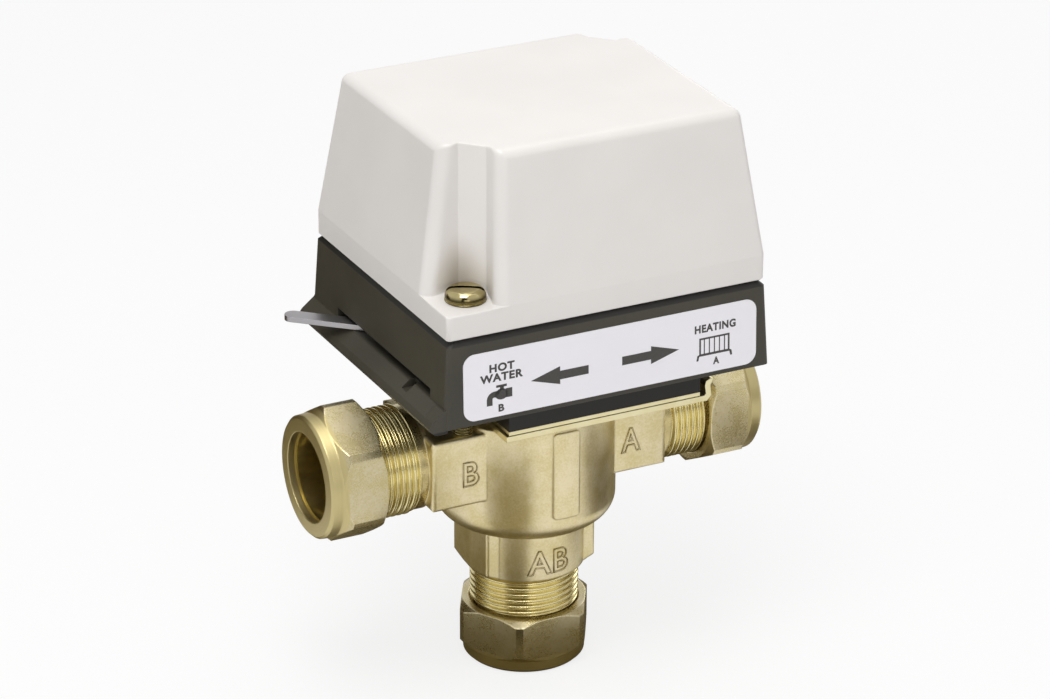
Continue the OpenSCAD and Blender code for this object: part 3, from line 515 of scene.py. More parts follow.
STEEL_FIXINGS = ("spindle", "lever_rivets", "body_plate_screws", "head_plate_screws",
                 "clamp_screws", "deck_screws", "motor_screws", "switch_screws")
NODE_FINISHES = {
    "valve_body": body_brass,
    "bonnet": body_brass,
    # the last numbers are painted shade: nut B and nut AB get darker tones than nut A
    "port_a_nut": nut_brass("a", SIDEWAYS, port_a_high[0], -1, 0.95),
    "port_b_nut": nut_brass("b", SIDEWAYS, port_b_low[0], 1, 0.89),
    "port_ab_nut": nut_brass("ab", UPRIGHT, port_ab_low[2], 1, 0.87),
    "port_a_olive": thread_brass,
    "port_b_olive": thread_brass,
    "port_ab_olive": thread_brass,
    "paddle_arm": thread_brass,
    "valve_ball": soft_rubber("valve_ball_rubber"),
    "bonnet_seal": soft_rubber("seal_rubber"),
    "spindle_seals": soft_rubber("spindle_seal_rubber"),
    "cable_grommet": soft_rubber("grommet_rubber"),
    "body_plate": passivated_plate("body_plate_zinc", 0.25),
    "head_plate": passivated_plate("head_plate_zinc", 0.2),
    "locking_screws": yellow_screw,
    "cover_screws": yellow_screw,
    "deck_plate": bare_steel("deck_steel", (0.80, 0.80, 0.79), 0.3, (8, 1, 1)),
    "manual_lever": bare_steel("lever_steel", (0.74, 0.73, 0.74), 0.24, (1, 6, 6)),
    "return_spring": bare_steel("spring_steel", (0.62, 0.62, 0.62), 0.22),
    "motor_can": bare_steel("motor_can_steel", (0.74, 0.74, 0.73), 0.28, (1, 1, 8)),
    "motor_gear_case": bare_steel("gear_case_steel", (0.70, 0.70, 0.69), 0.3, (6, 1, 1)),
    "quadrant_gear": moulded_plastic("quadrant_plastic", (0.88, 0.87, 0.82), 0.4, 0.12),
    "motor_pinion": moulded_plastic("pinion_plastic", (0.90, 0.89, 0.86), 0.4, 0.08),
    "microswitch": moulded_plastic("switch_plastic", (0.42, 0.13, 0.12), 0.4, 0.25),
    "switch_plunger": moulded_plastic("plunger_plastic", (0.90, 0.89, 0.86), 0.35, 0.1),
    "cable_clamp": moulded_plastic("clamp_plastic", (0.86, 0.85, 0.80), 0.42, 0.25),
    "base": base_grey,
    "label": label_film("label_film"),
    "cover": cover_white,
    **dict.fromkeys(STEEL_FIXINGS, plain_steel),
}
for node_name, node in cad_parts.items():
    node.data.materials.clear()
    node.data.materials.append(NODE_FINISHES[node_name])


# ---- cover ----

COVER_WALL = 1.8
HOOD_LEAN = 4.75       # how far the hood's walls come in by LEAN_UNTIL
LEAN_FROM = 0.25       # over the pads
LEAN_UNTIL = 2.0       # below the top
RECESS_X, RECESS_Y = 15.0, 14.7
RECESS_CUT = 5.0       # cut off a recess's inner corner by its slanting wall
RECESS_PINCH = np.array([2.5, 2.5])   # how far a recess's walls come in where they meet the hood's faces
TOP_PINCH = np.array([0.2, 1.5])      # the same at the top of the hood
SKIRT_R = 1.0          # upright corners of the skirt below a recess
SKIRT_CHAMFER = 0.3    # along its bottom edge
CORNER_R = 1.5         # upright corners of the hood
SHARPEST_R = 0.4       # what is left of them where the top's edge draws in
RIM_R = 3.0            # where a recess opens into the hood's faces
INSIDE_R = 0.35        # creases inside a recess
TOP_R = 2.3            # edge of the hood's top
RECESS_TOP_R = 0.45    # the same edge where a recess opens in the top
INNER_TOP_R = 0.5      # the same edge inside the hood
DEEPEST = 4.0          # the furthest that the top's edge draws in
PAD_R = 0.5            # edge of the pad under a cover screw
PAD_RISE = 0.02        # from that edge to the hood's foot
ARC_STEPS = 8
half_x, half_y = (cover_high - cover_low)[:2] / 2
notch_x, notch_y = half_x - RECESS_X, half_y - RECESS_Y


def rounded_path(corners, radii):
    """Closed outline with each corner replaced by an arc tangent to its two sides.

    The arc of radius r at a corner that turns by t starts r * tan(t / 2) before it. Every corner gives
    the same number of points, so outlines of different size match point by point.
    """
    corners, radii = np.asarray(corners, float), np.asarray(radii, float)
    before = corners - np.roll(corners, 1, axis=0)
    after = np.roll(corners, -1, axis=0) - corners
    start = np.arctan2(before[:, 1], before[:, 0])
    turn = (np.arctan2(after[:, 1], after[:, 0]) - start + math.pi) % FULL_TURN - math.pi
    side = np.sign(turn)
    back = radii * np.tan(np.abs(turn) / 2)
    first = corners - back[:, None] * np.stack([np.cos(start), np.sin(start)], 1)
    middle = first + (radii * side)[:, None] * np.stack([-np.sin(start), np.cos(start)], 1)
    share = np.linspace(0, 1, ARC_STEPS + 1)[None, :]
    angle = start[:, None] - side[:, None] * math.pi / 2 + turn[:, None] * share
    arc_x = middle[:, :1] + radii[:, None] * np.cos(angle)
    arc_y = middle[:, 1:] + radii[:, None] * np.sin(angle)
    return np.stack([arc_x, arc_y], -1).reshape(-1, 2)


def both_corners(half):
    """The corners of one half of the cover, then the same turned half round."""
    half = np.asarray(half, float)
    return np.concatenate([half, -half])


def hood_outline(inset, pinch=RECESS_PINCH, slimmer=0.0):
    """Section of the hood, moved in by inset: a rectangle with two opposite corners cut away.

    A recess's cut grows by inset * (2 - root of 2), so that its slanting wall moves in as far as the
    walls beside it. slimmer is how much further in the hood's own faces are.
    """
    x, y = half_x - slimmer - inset, half_y - slimmer - inset
    nx, ny = notch_x - inset, notch_y - inset
    cut = RECESS_CUT + inset * (2 - math.sqrt(2))
    half = [(-x, -ny - pinch[1]), (-nx - cut, -ny), (-nx, -ny - cut), (-nx - pinch[0], -y), (x, -y)]
    inside = INSIDE_R + inset
    rim, plain = RIM_R - inset, max(CORNER_R - inset, SHARPEST_R)
    return rounded_path(both_corners(half), [rim, inside, inside, rim, plain] * 2)


def skirt_outline(inset):
    """Section of the skirt, whole at the recesses, with as many points as the hood's section over it.

    Below a recess the points run along one side, round the corner's arc and along the next side. A
    side's points are start + share * (end - start), where share goes up to just under a half.
    """
    x, y = half_x - inset, half_y - inset
    radii = [SKIRT_R - 0.3 * inset, max(CORNER_R - inset, SHARPEST_R)]
    arcs = rounded_path(both_corners([(-x, -y), (x, -y)]), radii * 2).reshape(4, ARC_STEPS + 1, 2)
    share = np.linspace(0, 0.45, ARC_STEPS + 1)[:, None]
    steps, finer = np.arange(ARC_STEPS + 1), np.linspace(0, ARC_STEPS, 2 * ARC_STEPS + 2)
    parts = []
    for sign, arc, plain in ((1, arcs[0], arcs[1]), (-1, arcs[2], arcs[3])):
        round_corner = np.stack([np.interp(finer, steps, arc[:, k]) for k in range(2)], 1)
        above = -sign * np.array([x, notch_y + RECESS_PINCH[1]])
        along = -sign * np.array([notch_x + RECESS_PINCH[0], y])
        first = above + share * (arc[0] - above)
        last = along + share[::-1] * (arc[-1] - along)
        parts += [first, round_corner, last, plain]
    return np.concatenate(parts)


def cover_row(outline, z):
    """A row of the cover's points: an outline at a height, which is one number or one for each point."""
    middle = (cover_low + cover_high)[:2] / 2
    return np.column_stack([outline + middle, z + np.zeros(len(outline))])


def skirt_rows(inset):
    """Rows of the skirt: from its chamfered bottom edge up its wall and over the pads to the hood's foot.

    The pad's edge is a quarter round of radius r: its row at angle a lies r * (1 - cos a) in from the
    wall and r * (1 - sin a) below the pad.
    """
    pad, skirt = pad_level - inset, skirt_outline(inset)
    across = hood_outline(inset) - skirt
    width = np.hypot(across[:, 0], across[:, 1])[:, None]
    edge = PAD_R * np.clip(width / (2 * PAD_R), 0, 1) * across / np.maximum(width, 1e-9)
    rows = [
        cover_row(skirt_outline(inset + SKIRT_CHAMFER), cover_low[2]),
        cover_row(skirt, cover_low[2] + SKIRT_CHAMFER),
        cover_row(skirt, pad - 1.2),
    ]
    for turn in np.radians([0, 22, 45, 68, 90]):
        rows.append(cover_row(skirt + edge * (1 - math.cos(turn)), pad - PAD_R * (1 - math.sin(turn))))
    for share in (0.5, 0.92, 1.0):
        rows.append(cover_row(skirt + edge + (across - edge) * share, pad + PAD_RISE * share))
    return rows


def hood_rows(inset, top_r):
    """Rows of the hood: from its foot up its leaning walls, round the edge of its top and onto the flat.

    Up the walls each point moves in by slope * height, and from the pinched recess towards the open
    one by height / whole height. The edge of the top is a quarter round of radius r, which is one
    number or one for each point: its row at angle a lies r * (1 - cos a) further in and
    r * (1 - sin a) below the top.
    """
    pad, top, foot = pad_level - inset, cover_high[2] - inset, hood_outline(inset)
    slope = HOOD_LEAN / (cover_high[2] - LEAN_UNTIL - pad_level)
    lean = hood_outline(inset, slimmer=1.0) - foot
    opening = hood_outline(inset, TOP_PINCH) - foot
    until_sharp = max(CORNER_R - SHARPEST_R - inset, 0.01)
    to_sharp = hood_outline(inset + until_sharp) - foot
    to_deepest = hood_outline(inset + DEEPEST) - foot

    def row(z, further_in):
        """A row at a height. It is drawn in until its corners are at their sharpest, then straight on."""
        up = z - pad_level + np.zeros(len(foot))
        leaned = slope * np.clip(up - LEAN_FROM, 0, None)[:, None] * lean
        opened = np.clip(up / (cover_high[2] - pad_level), 0, 1)[:, None] * opening
        further_in = (further_in + np.zeros(len(foot)))[:, None]
        near = np.clip(further_in / until_sharp, 0, 1)
        far = np.clip((further_in - until_sharp) / (DEEPEST - until_sharp), 0, 1)
        drawn_in = near * to_sharp + far * (to_deepest - to_sharp)
        return cover_row(foot + leaned + drawn_in + opened, z)

    rows = [row(pad + up, 0.0) for up in (LEAN_FROM, 1.2, 8, 20)]
    rows.append(row(top - TOP_R - 1, 0.0))
    for turn in np.linspace(0, math.pi / 2, 10):
        rows.append(row(top - top_r * (1 - math.sin(turn)), top_r * (1 - math.cos(turn))))
    rows.append(row(top, top_r + 0.3))
    return rows


def cover_shell():
    """The cover as one closed skin: rows of its outside from the top down, and of its inside back up.

    The top's edge is TOP_R round, and falls to RECESS_TOP_R by the share of a recess in each point.
    """
    steps = ARC_STEPS + 1
    in_recess = [np.linspace(0, 1, steps), np.ones(2 * steps), np.linspace(1, 0, steps), np.zeros(steps)]
    outer_top_r = TOP_R + (RECESS_TOP_R - TOP_R) * np.concatenate(in_recess * 2)
    outside = skirt_rows(0.0) + hood_rows(0.0, outer_top_r)
    inside = skirt_rows(COVER_WALL) + hood_rows(COVER_WALL, INNER_TOP_R)
    rows = np.array(outside[::-1] + inside)
    faces = [face[::-1] for face in capped(*rows.shape[:2])]
    made = piece("cover_shell", rows, faces, cover_white)
    made.modifiers.new("even_shading", "WEIGHTED_NORMAL").keep_sharp = True
    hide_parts("cover")


cover_shell()


# ---- threads ----

PORT_THREAD = (12.78, 13.6, 1.6)   # root radius, crest radius and pitch
LOCKING_THREAD = (2.25, 2.5, 0.8)
RUNOUT = 0.25                      # over which a thread rises from its root at both ends
SLEEVE_SINK = 0.15                 # how deep a thread's sleeve is set into its root
IN_NUT = 0.15                      # how far a thread runs on inside its nut
ARM_RELIEF = 2.3                   # plain turned relief between an arm's block and its thread
NECK_GAP = 0.02                    # between the neck's shoulder and its thread
BLOCK_GAP = 0.05                   # between a block's top and the locking screw's thread
LOCKING_HEAD_R = 4.0               # locking screw's head, which gives the screw's middle
LOCKING_TOP = 25.0                 # where the locking screws' threads end, over the port level


def thread_wave(turns):
    """Height of a thread, from 0 at its root to 1 at its crest, over the part of a turn that has passed.

    It is a triangle wave t, eased at both ends: s * s * (3 - 2 * s), where s is t stretched by a fifth.
    """
    eased = np.clip(1.2 * (1 - np.abs(2 * (turns % 1) - 1)) - 0.05, 0, 1)
    return eased**2 * (3 - 2 * eased)


def thread_sleeve(name, start, end, thread, place, finish, around=128, per_turn=26):
    """Helical thread about an axis: radius = root + depth * wave(along / pitch - angle / full turn).

    place puts (across, across, along) into the part's frame. Both ends fade out and close on the root.
    """
    root_r, crest_r, pitch = thread
    rows = int((end - start) / pitch * per_turn)
    along = np.linspace(start, end, rows)[:, None]
    angle = np.linspace(0, FULL_TURN, around, endpoint=False)[None, :]
    wave = thread_wave(along / pitch - angle / FULL_TURN)
    fade = np.clip(np.minimum(along - start, end - along) / RUNOUT, 0, 1)

    def rings(radius, level):
        """Rings of points round the axis, of this radius and at this level along it."""
        return np.stack([radius * np.cos(angle), radius * np.sin(angle), level + 0 * angle], -1)

    sunk = root_r - SLEEVE_SINK
    outside = rings(root_r + (crest_r - root_r) * wave * fade, along)
    points = np.concatenate([rings(sunk, start), outside, rings(sunk, end)])
    inner_wall = grid_faces(2, around)[:, ::-1].copy()
    inner_wall[inner_wall >= around] += rows * around
    faces = [*grid_faces(rows + 2, around).tolist(), *inner_wall.tolist()]
    piece(name, place(points), faces, finish)


def along_x(sign):
    """Puts a port's axis along +X or -X at the port level, without turning the shape inside out."""
    return lambda p: np.stack([sign * p[..., 2], sign * p[..., 0], p[..., 1] + port_level], -1)


def straight_down(p):
    """Puts a port's axis straight down."""
    return np.stack([p[..., 1], p[..., 0], -p[..., 2]], -1)


def upright_at(x, y):
    """Puts a screw's axis upright through this place."""
    return lambda p: p + np.array([x, y, 0])


def port_threads():
    """The threads of the three ports, each from the end of its relief to just inside its nut."""
    for port, start, nut, place in (
        ("a", ARM_FACE + ARM_RELIEF, port_a_low[0], along_x(1)),
        ("b", ARM_FACE + ARM_RELIEF, -port_b_high[0], along_x(-1)),
        ("ab", NECK_GAP - NECK_END, -port_ab_high[2], straight_down),
    ):
        thread_sleeve(f"port_{port}_thread", start, nut + IN_NUT, PORT_THREAD, place,
                      thread_brass)


def locking_threads():
    """Threads on the two locking screws where they show between the arm block and the base."""
    low, high = box_mm("locking_screws")
    x = (low[0] + high[0]) / 2
    start, end = port_level + ARM_HALF_HEIGHT + BLOCK_GAP, port_level + LOCKING_TOP
    for label, y in (("front", low[1] + LOCKING_HEAD_R), ("back", high[1] - LOCKING_HEAD_R)):
        thread_sleeve(f"locking_thread_{label}", start, end, LOCKING_THREAD, upright_at(x, y),
                      yellow_screw, around=40, per_turn=10)


port_threads()
locking_threads()


# ---- cover screws ----

SHANK_R, FLANGE_R, HEAD_R = 2.0, 5.0, 4.95
CROWN, CROWN_FALL = 3.3, 0.35   # height of the head over the pad, and how much it falls to its rim
SHOULDER_R = 1.9                # round edge of the head
HEAD_EDGE = CROWN - CROWN_FALL - SHOULDER_R
SLOT_W, SLOT_DEPTH = 1.25, 1.2
SLOT_DEG = -28.5                # direction of both slots, from the cover's long side
SHARP_DEG = 35                  # edges that turn by more than this stay sharp in the shading


def screw_profile(radius):
    """Height of the head over the pad: a crown falling as the radius squared, then a round shoulder."""
    past = np.clip((radius - (HEAD_R - SHOULDER_R)) / SHOULDER_R, 0, 1)
    return CROWN - CROWN_FALL * (radius / HEAD_R) ** 2 - SHOULDER_R * (1 - np.sqrt(1 - past**2))


def screw_crown(steps=44, across=40):
    """Slotted top as height over a disc.

    Grid lines run along the slot: s crosses it and t = sqrt(R*R - s*s) * share runs along it, with
    doubled lines at the slot's two edges for its upright walls.
    """
    half = SLOT_W / 2
    bank = half + (HEAD_R - half) * np.sin(np.linspace(0, math.pi / 2, steps))
    floor = np.linspace(-half, half, 5)
    s = np.concatenate([-bank[::-1], floor, bank])
    in_slot = np.zeros(len(s), bool)
    in_slot[steps : steps + len(floor)] = True
    share = np.sin(np.linspace(-math.pi / 2, math.pi / 2, across))
    t = np.sqrt(np.maximum(HEAD_R**2 - s**2, 0))[:, None] * share[None, :]
    s = s[:, None] + 0 * t
    z = screw_profile(np.minimum(np.hypot(s, t), HEAD_R))
    z = np.where(in_slot[:, None], np.minimum(z, CROWN - SLOT_DEPTH), z)
    return s, t, z


def cover_screw_heads():
    """Both cover screws: slotted pan head on its flange, over a plain shank.

    Below the crown a screw is turned: each radius and height of its outline swept round the axis.
    """
    low, high = box_mm("cover_screws")
    angle = np.linspace(0, FULL_TURN, 72, endpoint=False)
    outline = np.array([
        [SHANK_R, low[2] - pad_level], [SHANK_R, 0.05],
        [FLANGE_R - 0.15, 0.05], [FLANGE_R, 0.15], [FLANGE_R, 0.35], [FLANGE_R - 0.2, 0.45],
        [HEAD_R - 0.3, 0.5], [HEAD_R - 0.15, 0.65], [HEAD_R, HEAD_EDGE],
    ])
    radius, height = outline[:, :1], outline[:, 1:]
    collar = np.stack([radius * np.cos(angle), radius * np.sin(angle), height + 0 * angle], -1)
    s, t, z = screw_crown()
    turn = math.radians(SLOT_DEG)
    crown_x = t * math.cos(turn) - s * math.sin(turn)
    crown_y = t * math.sin(turn) + s * math.cos(turn)
    crown = np.stack([crown_x, crown_y, z], -1)
    points = np.concatenate([collar.reshape(-1, 3), crown.reshape(-1, 3)])
    crown_faces = grid_faces(*crown.shape[:2], closed=False)[:, ::-1] + collar.shape[0] * collar.shape[1]
    faces = capped(*collar.shape[:2]) + crown_faces.tolist()
    for label, corner, inward in (("front", low, FLANGE_R), ("back", high, -FLANGE_R)):
        centre = np.array([corner[0] + inward, corner[1] + inward, pad_level])
        made = piece(f"cover_screw_{label}", points + centre, faces, yellow_screw)
        made.data.set_sharp_from_angle(angle=math.radians(SHARP_DEG))
        if label == "front":
            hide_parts("cover_screws")


cover_screw_heads()


# ---- lettering and label print ----

LETTER_HEIGHT = 6.7
LETTER_BEAD = 0.42          # half the thickness of a cast letter's outline
LETTER_LEVEL = -0.7         # middle of A and B, from the port level
NECK_R = 15.1               # round front of the neck
NECK_LETTERS = -29.0        # middle of AB, from the port level
INK_T = 0.03
LABEL_LEAN = 0.65 / 20.65   # how far the base's front leans back over its height


def letter_mesh(text, outline=0.0, thick=0.0, bold=0.0):
    """Points and faces of a word in the plane: solid and this bold, or as a raised outline."""
    curve = bpy.data.curves.new("word", "FONT")
    curve.body = text
    curve.align_x, curve.align_y = "CENTER", "CENTER"
    curve.size = 1.0
    curve.resolution_u = 6
    curve.offset = bold
    curve.space_character = 1.12
    if outline:
        curve.fill_mode = "NONE"
        curve.bevel_depth = outline
        curve.bevel_resolution = 2
    else:
        curve.extrude = thick
    holder = bpy.data.objects.new("word", curve)
    bpy.context.scene.collection.objects.link(holder)
    shaped = holder.evaluated_get(bpy.context.evaluated_depsgraph_get())
    mesh = bpy.data.meshes.new_from_object(shaped)
    points = np.zeros(len(mesh.vertices) * 3)
    mesh.vertices.foreach_get("co", points)
    faces = [list(polygon.vertices) for polygon in mesh.polygons]
    bpy.data.objects.remove(holder)
    bpy.data.meshes.remove(mesh)
    return points.reshape(-1, 3), faces


def sized(points, width, height, thick):
    """A flat shape scaled to this width, height and thickness, centred on its own middle."""
    low, high = points.min(0), points.max(0)
    span = np.maximum(high - low, 1e-9)
    return (points - (low + high) / 2) / span * np.array([width, height, thick])


def on_front(points, x, y, z, lean=0.0):
    """Stands a flat shape up on a face that looks towards -Y; lean tips the face back by this slope."""
    up = points[:, 1]
    return np.stack([x + points[:, 0], y - points[:, 2] + lean * up, z + up], -1)


def on_round(points, radius, middle, z):
    """Wraps a flat shape round an upright cylinder, its middle this far round from the front.

    A point this far across lies at the angle (across + middle) / radius, and its thickness adds to
    the radius.
    """
    angle = (points[:, 0] + middle) / radius
    out = radius + points[:, 2]
    return np.stack([out * np.sin(angle), -out * np.cos(angle), z + points[:, 1]], -1)


def port_letters():
    """Raised outline letters cast beside the ports: A and B on the arm blocks, AB round the neck."""

    def cast(name, text, width, put, *where):
        """One raised word of this width, put on the body."""
        points, faces = letter_mesh(text, outline=0.024, bold=0.02)
        flat = sized(points, width, LETTER_HEIGHT, 2 * LETTER_BEAD)
        piece(name, put(flat, *where), faces, shaded_letter_brass)

    cast("port_letter_b", "B", 4.5, on_front, -21.6, ARM_FRONT, port_level + LETTER_LEVEL)
    cast("port_letter_a", "A", 5.6, on_front, 22.1, ARM_FRONT, port_level + LETTER_LEVEL)
    cast("port_letters_ab", "AB", 11.4, on_round, NECK_R, -0.6, port_level + NECK_LETTERS)


def slab(outline):
    """A thin closed plate from a flat outline: the outline at half the ink's thickness down and up.

    Where the sum of x * next z - z * next x is negative the outline runs clockwise, and is reversed.
    """
    outline = np.asarray(outline, float)
    x, z = outline.T
    if np.sum(x * np.roll(z, -1) - z * np.roll(x, -1)) < 0:
        outline = outline[::-1]
    thick = np.full(len(outline), INK_T / 2)
    points = np.concatenate([np.column_stack([outline, -thick]), np.column_stack([outline, thick])])
    return points, capped(2, len(outline))


def joined(parts):
    """Several shapes as one set of points and faces."""
    points, faces, shift = [], [], 0
    for part_points, part_faces in parts:
        points.append(part_points)
        faces += [[index + shift for index in face] for face in part_faces]
        shift += len(part_points)
    return np.concatenate(points), faces


def moved(shape, x, z):
    """The same shape, this far across and up."""
    points, faces = shape
    return points + np.array([x, z, 0]), faces


def bar(x0, z0, x1, z1):
    """A printed upright rectangle."""
    return slab([(x0, z0), (x1, z0), (x1, z1), (x0, z1)])


def arrow(length, head_len, head_w, shaft_w, sign):
    """A block arrow that points along +X or -X, centred."""
    tip, neck, tail = length / 2, length / 2 - head_len, -length / 2
    shaft, head = shaft_w / 2, head_w / 2
    outline = [(tail, -shaft), (neck, -shaft), (neck, -head), (tip, 0), (neck, head), (neck, shaft),
               (tail, shaft)]
    return slab(sign * np.array(outline))


def tap_sign():
    """A plain bib tap: cross handle, stem, round body, inlet and a spout that turns down.

    The body is an ellipse, the spout a band between two quarter ellipses, and the rest are bars.
    """
    turn = np.linspace(0, FULL_TURN, 28, endpoint=False)
    body = np.column_stack([0.5 + 1.7 * np.cos(turn), 1.4 * np.sin(turn)])
    bend = np.linspace(math.pi / 2, math.pi, 9)
    back = bend[::-1]
    spout = np.concatenate([
        [(0.3, 1.05)],
        np.column_stack([-1.3 + 2.1 * np.cos(bend), -1.05 + 2.0 * np.sin(bend)]),
        [(-3.4, -2.5), (-1.9, -2.5)],
        np.column_stack([-1.5 + 0.4 * np.cos(back), -1.0 + 0.45 * np.sin(back)]),
        [(-0.6, -0.7)],
    ])
    inlet, stem, handle = bar(1.6, -1.1, 3.3, 1.2), bar(0.1, 1.0, 1.1, 2.0), bar(-0.9, 1.8, 1.9, 2.4)
    return joined([slab(body), slab(spout), inlet, stem, handle])


def radiator_sign(width=8.3, height=4.7, sections=6, line=0.45, bar_w=0.28):
    """A plain column radiator: four bars as its frame, evenly spaced sections and two splayed feet."""
    half, top = width / 2, height / 2
    low, high = line - top, top - line
    parts = [
        bar(-half, high, half, top),
        bar(-half, -top, half, 1.3 * line - top),
        bar(-half, low, line - half, high),
        bar(half - line, low, half, high),
    ]
    for x in np.linspace(-half, half, sections + 1)[1:-1]:
        parts.append(bar(x - bar_w / 2, low, x + bar_w / 2, high))
    for side in (-1, 1):
        foot = [(0, 0.5), (0, -0.1), (0.25, -1.1), (0.75, -1.1), (0.55, 0.2)]
        parts.append(slab([(side * (half + out), up - top) for out, up in foot]))
    return joined(parts)


def word(text, width, height):
    """A printed word of this size."""
    points, faces = letter_mesh(text, thick=0.01, bold=0.04)
    return sized(points, width, height, INK_T), faces


def label_print():
    """Everything printed on the label, raised by the thickness of the ink.

    Each item has its middle across and its height in the part's frame.
    """
    label_low = box_mm("label")[0]
    points, faces = joined([
        moved(arrow(15.3, 7.7, 4.6, 2.2, -1), -7.45, 89.9),
        moved(arrow(15.4, 7.6, 4.6, 2.2, 1), 16.9, 90.2),
        moved(word("HOT", 6.6, 2.1), -22.7, 95.1),
        moved(word("WATER", 11.3, 2.1), -22.85, 92.65),
        moved(tap_sign(), -23.4, 88.2),
        moved(word("B", 1.5, 1.9), -23.0, 84.7),
        moved(word("HEATING", 11.2, 2.1), 34.5, 94.25),
        moved(radiator_sign(), 34.3, 89.5),
        moved(word("A", 1.7, 1.9), 34.8, 85.4),
    ])
    face_y = label_low[1] - LABEL_LEAN * label_low[2] - INK_T / 2
    placed = on_front(points, 0, face_y, 0, LABEL_LEAN)
    piece("label_print", placed, faces, ink, smooth=False)


port_letters()
label_print()


# ---- floor, light and camera ----

FLOOR_REACH = 6000.0
FLOOR_GAP = 0.2        # under the valve and under the painted shadow round its foot
FLOOR_GLOW = 0.8       # how far the floor shows plain white to the camera
FLOOR_IN_METAL = 0.3   # and in reflections
SKY_IN_METAL = 0.8     # strength of the surroundings in reflections
AMBIENT = 0.416        # and as a light

CAMERA_AZIMUTH, CAMERA_ELEVATION, CAMERA_ROLL = -26.775, 24.325, 0.247   # degrees
CAMERA_LOOKS_AT, CAMERA_DISTANCE = (0.00006, 0.0, 0.08155), 1.07495      # metres
CAMERA_LENS, CAMERA_SENSOR = 150.8, 36.0                                 # millimetres

# tones of the sheets of painted dark reflection and painted shadow
BLACK_FELT, BROWN_FELT = (0.18, 0.155, 0.09), (0.33, 0.275, 0.13)
GREY_FELT, PALE_FELT = (0.58, 0.54, 0.41), (0.88, 0.85, 0.75)
HEAD_SHADOW_TONE = (0.50, 0.46, 0.345)


def staged(name, corners, material):
    """A flat sheet of the studio, its corners in millimetres over the valve's lowest point."""
    mesh = bpy.data.meshes.new(name)
    points = corners * MM + np.array([0, 0, cad_box[0].z])
    mesh.from_pydata(points.tolist(), [], [list(range(len(points)))])
    mesh.materials.append(material)
    made = bpy.data.objects.new(name, mesh)
    bpy.context.scene.collection.objects.link(made)
    return made


def studio_floor():
    """A plain pale floor under the bottom port: white where it is lit, and it keeps the shadow."""
    floor = Finish("studio_floor", roughness=0.9, specular_ior_level=0.1)
    speckle = floor.noise(6, 2)
    floor.feed(base_color=floor.mix(speckle, paint((0.955, 0.955, 0.955)), paint((0.965, 0.965, 0.965))))
    glow = floor.node("Emission", sockets={"Color": (1, 1, 1, 1), "Strength": 1.0})
    share = FLOOR_GLOW * floor.ray("Camera") + FLOOR_IN_METAL * floor.ray("Glossy")
    shown = floor.node("MixShader", sockets={0: share, 1: floor.surface, 2: glow})
    floor.set(floor.output.inputs["Surface"], shown)
    corners = FLOOR_REACH * np.array([(-1, -1, 0), (1, -1, 0), (1, 1, 0), (-1, 1, 0)])
    made = staged("floor", corners, floor.material)
    made.location.z = -FLOOR_GAP * MM


def direction(azimuth_deg, elevation_deg):
    """Unit vector towards a place: azimuth 0 is in front of the valve and grows to its right."""
    azimuth, elevation = math.radians(azimuth_deg), math.radians(elevation_deg)
    across = math.cos(elevation)
    return np.array([math.sin(azimuth) * across, -math.cos(azimuth) * across, math.sin(elevation)])


def soft_box(name, azimuth_deg, elevation_deg, distance, width, height, watts):
    """A rectangular soft lamp that looks at the valve from this direction; lengths in metres."""
    lamp = bpy.data.lights.new(name, "AREA")
    lamp.shape, lamp.size, lamp.size_y = "RECTANGLE", width, height
    lamp.energy = watts
    made = bpy.data.objects.new(name, lamp)
    away = Vector(direction(azimuth_deg, elevation_deg))
    made.location = (cad_box[0] + cad_box[1]) / 2 + distance * away
    made.rotation_euler = away.to_track_quat("Z", "Y").to_euler()
    bpy.context.scene.collection.objects.link(made)


def upright_card(start, end, bottom, top):
    """Corners of a card that stands between two points of the floor plan, in millimetres."""
    return np.array([(*start, bottom), (*end, bottom), (*end, top), (*start, top)], float)


def head_shadow_mat(radius, half_width, depth):
    """Corners of a sheet of painted shadow on the floor: a half disc in front of the valve's foot, a
    rectangle behind it.
    """
    turn = np.linspace(math.pi, FULL_TURN, 40)
    front = np.column_stack([radius * np.cos(turn), radius * np.sin(turn) + 6])
    behind = [(half_width, 20), (half_width, depth), (-half_width, depth), (-half_width, 20)]
    outline = np.concatenate([front, behind])
    return np.column_stack([outline, np.zeros(len(outline))])


def flag(name, corners, low_tone, high_tone=None, fade=None):
    """A studio flag that only reflections see: a painted dark reflection, which draws the dark bands on
    bright metal.

    Its tone is low_tone, or fades to high_tone between two heights over the floor in millimetres.
    """
    cloth = Finish(name, roughness=0.9, specular_ior_level=0.0, base_color=paint(low_tone))
    if fade:
        up = cloth.axes()[2] - cad_box[0].z
        cloth.feed(base_color=cloth.mix(cloth.rise(up, *fade), paint(low_tone), paint(high_tone)))
    made = staged(name, corners, cloth.material)
    made.visible_camera = made.visible_diffuse = made.visible_shadow = False


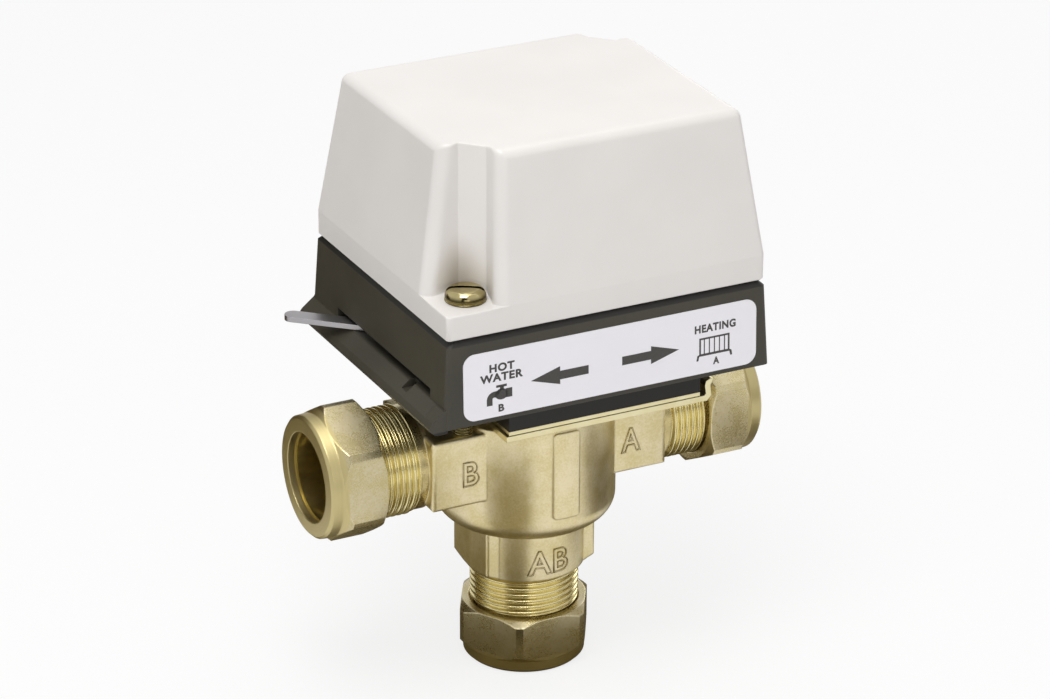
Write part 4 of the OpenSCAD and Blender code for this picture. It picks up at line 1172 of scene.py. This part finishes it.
def studio_world():
    """White to the camera, a little less in metal, and softer as a light."""
    world = bpy.data.worlds.new("studio")
    bpy.context.scene.world = world
    sky = Shading(world)
    in_metal = SKY_IN_METAL * sky.ray("Glossy")
    strength = sky.largest(sky.ray("Camera"), sky.ray("Transmission"), in_metal, AMBIENT)
    glow = sky.node("Background", sockets={"Color": (1, 1, 1, 1), "Strength": strength})
    sky.node("OutputWorld", sockets={"Surface": glow}, out=None)


def studio_camera():
    """The camera, at the valve's front left and looking down at it."""
    camera = bpy.data.objects.new("camera", bpy.data.cameras.new("camera"))
    camera.data.lens, camera.data.sensor_width = CAMERA_LENS, CAMERA_SENSOR
    back = direction(CAMERA_AZIMUTH, CAMERA_ELEVATION)
    camera.location = np.array(CAMERA_LOOKS_AT) + back * CAMERA_DISTANCE
    aim = (-Vector(back)).to_track_quat("-Z", "Y")
    camera.rotation_mode = "QUATERNION"
    camera.rotation_quaternion = aim @ Quaternion((0, 0, 1), math.radians(CAMERA_ROLL))
    bpy.context.scene.collection.objects.link(camera)
    bpy.context.scene.camera = camera


studio_floor()
studio_world()
soft_box("key", -44, 66, 1.0, 0.5, 0.5, 4.9)
soft_box("overhead", 150, 80, 1.1, 0.7, 0.7, 2.4)
soft_box("front_fill", -18, 14, 1.2, 0.6, 0.4, 1.3)
soft_box("back_fill", 130, 18, 1.2, 0.6, 0.4, 1.3)
# painted dark reflections: the foot flag and the mat stand in for the valve's shadow on the floor, the
# other flags for darker surroundings
flag("front_flag", upright_card((-44, -24), (-17, -47), 0, 50), BROWN_FELT, PALE_FELT, (1, 24))
flag("foot_flag", upright_card((-28, -28), (-9, -38.5), 0, 7), BLACK_FELT)
flag("right_flag", upright_card((80, -78), (80, 0), 0, 34), BROWN_FELT, GREY_FELT, (20, 34))
flag("right_back_flag", upright_card((82, 2), (82, 80), 0, 40), GREY_FELT)
flag("back_flag", upright_card((-240, 90), (-30, 90), 0, 140), GREY_FELT, BROWN_FELT, (0, 60))
flag("horizon_flag", upright_card((60, -600), (520, -320), 62, 130), BROWN_FELT)
flag("lens_flag", upright_card((-1000, -900), (-340, -1300), 100, 2400), BLACK_FELT)
flag("head_shadow_mat", head_shadow_mat(50, 80, 90), HEAD_SHADOW_TONE)
studio_camera()
bpy.context.scene.view_settings.view_transform = "Standard"
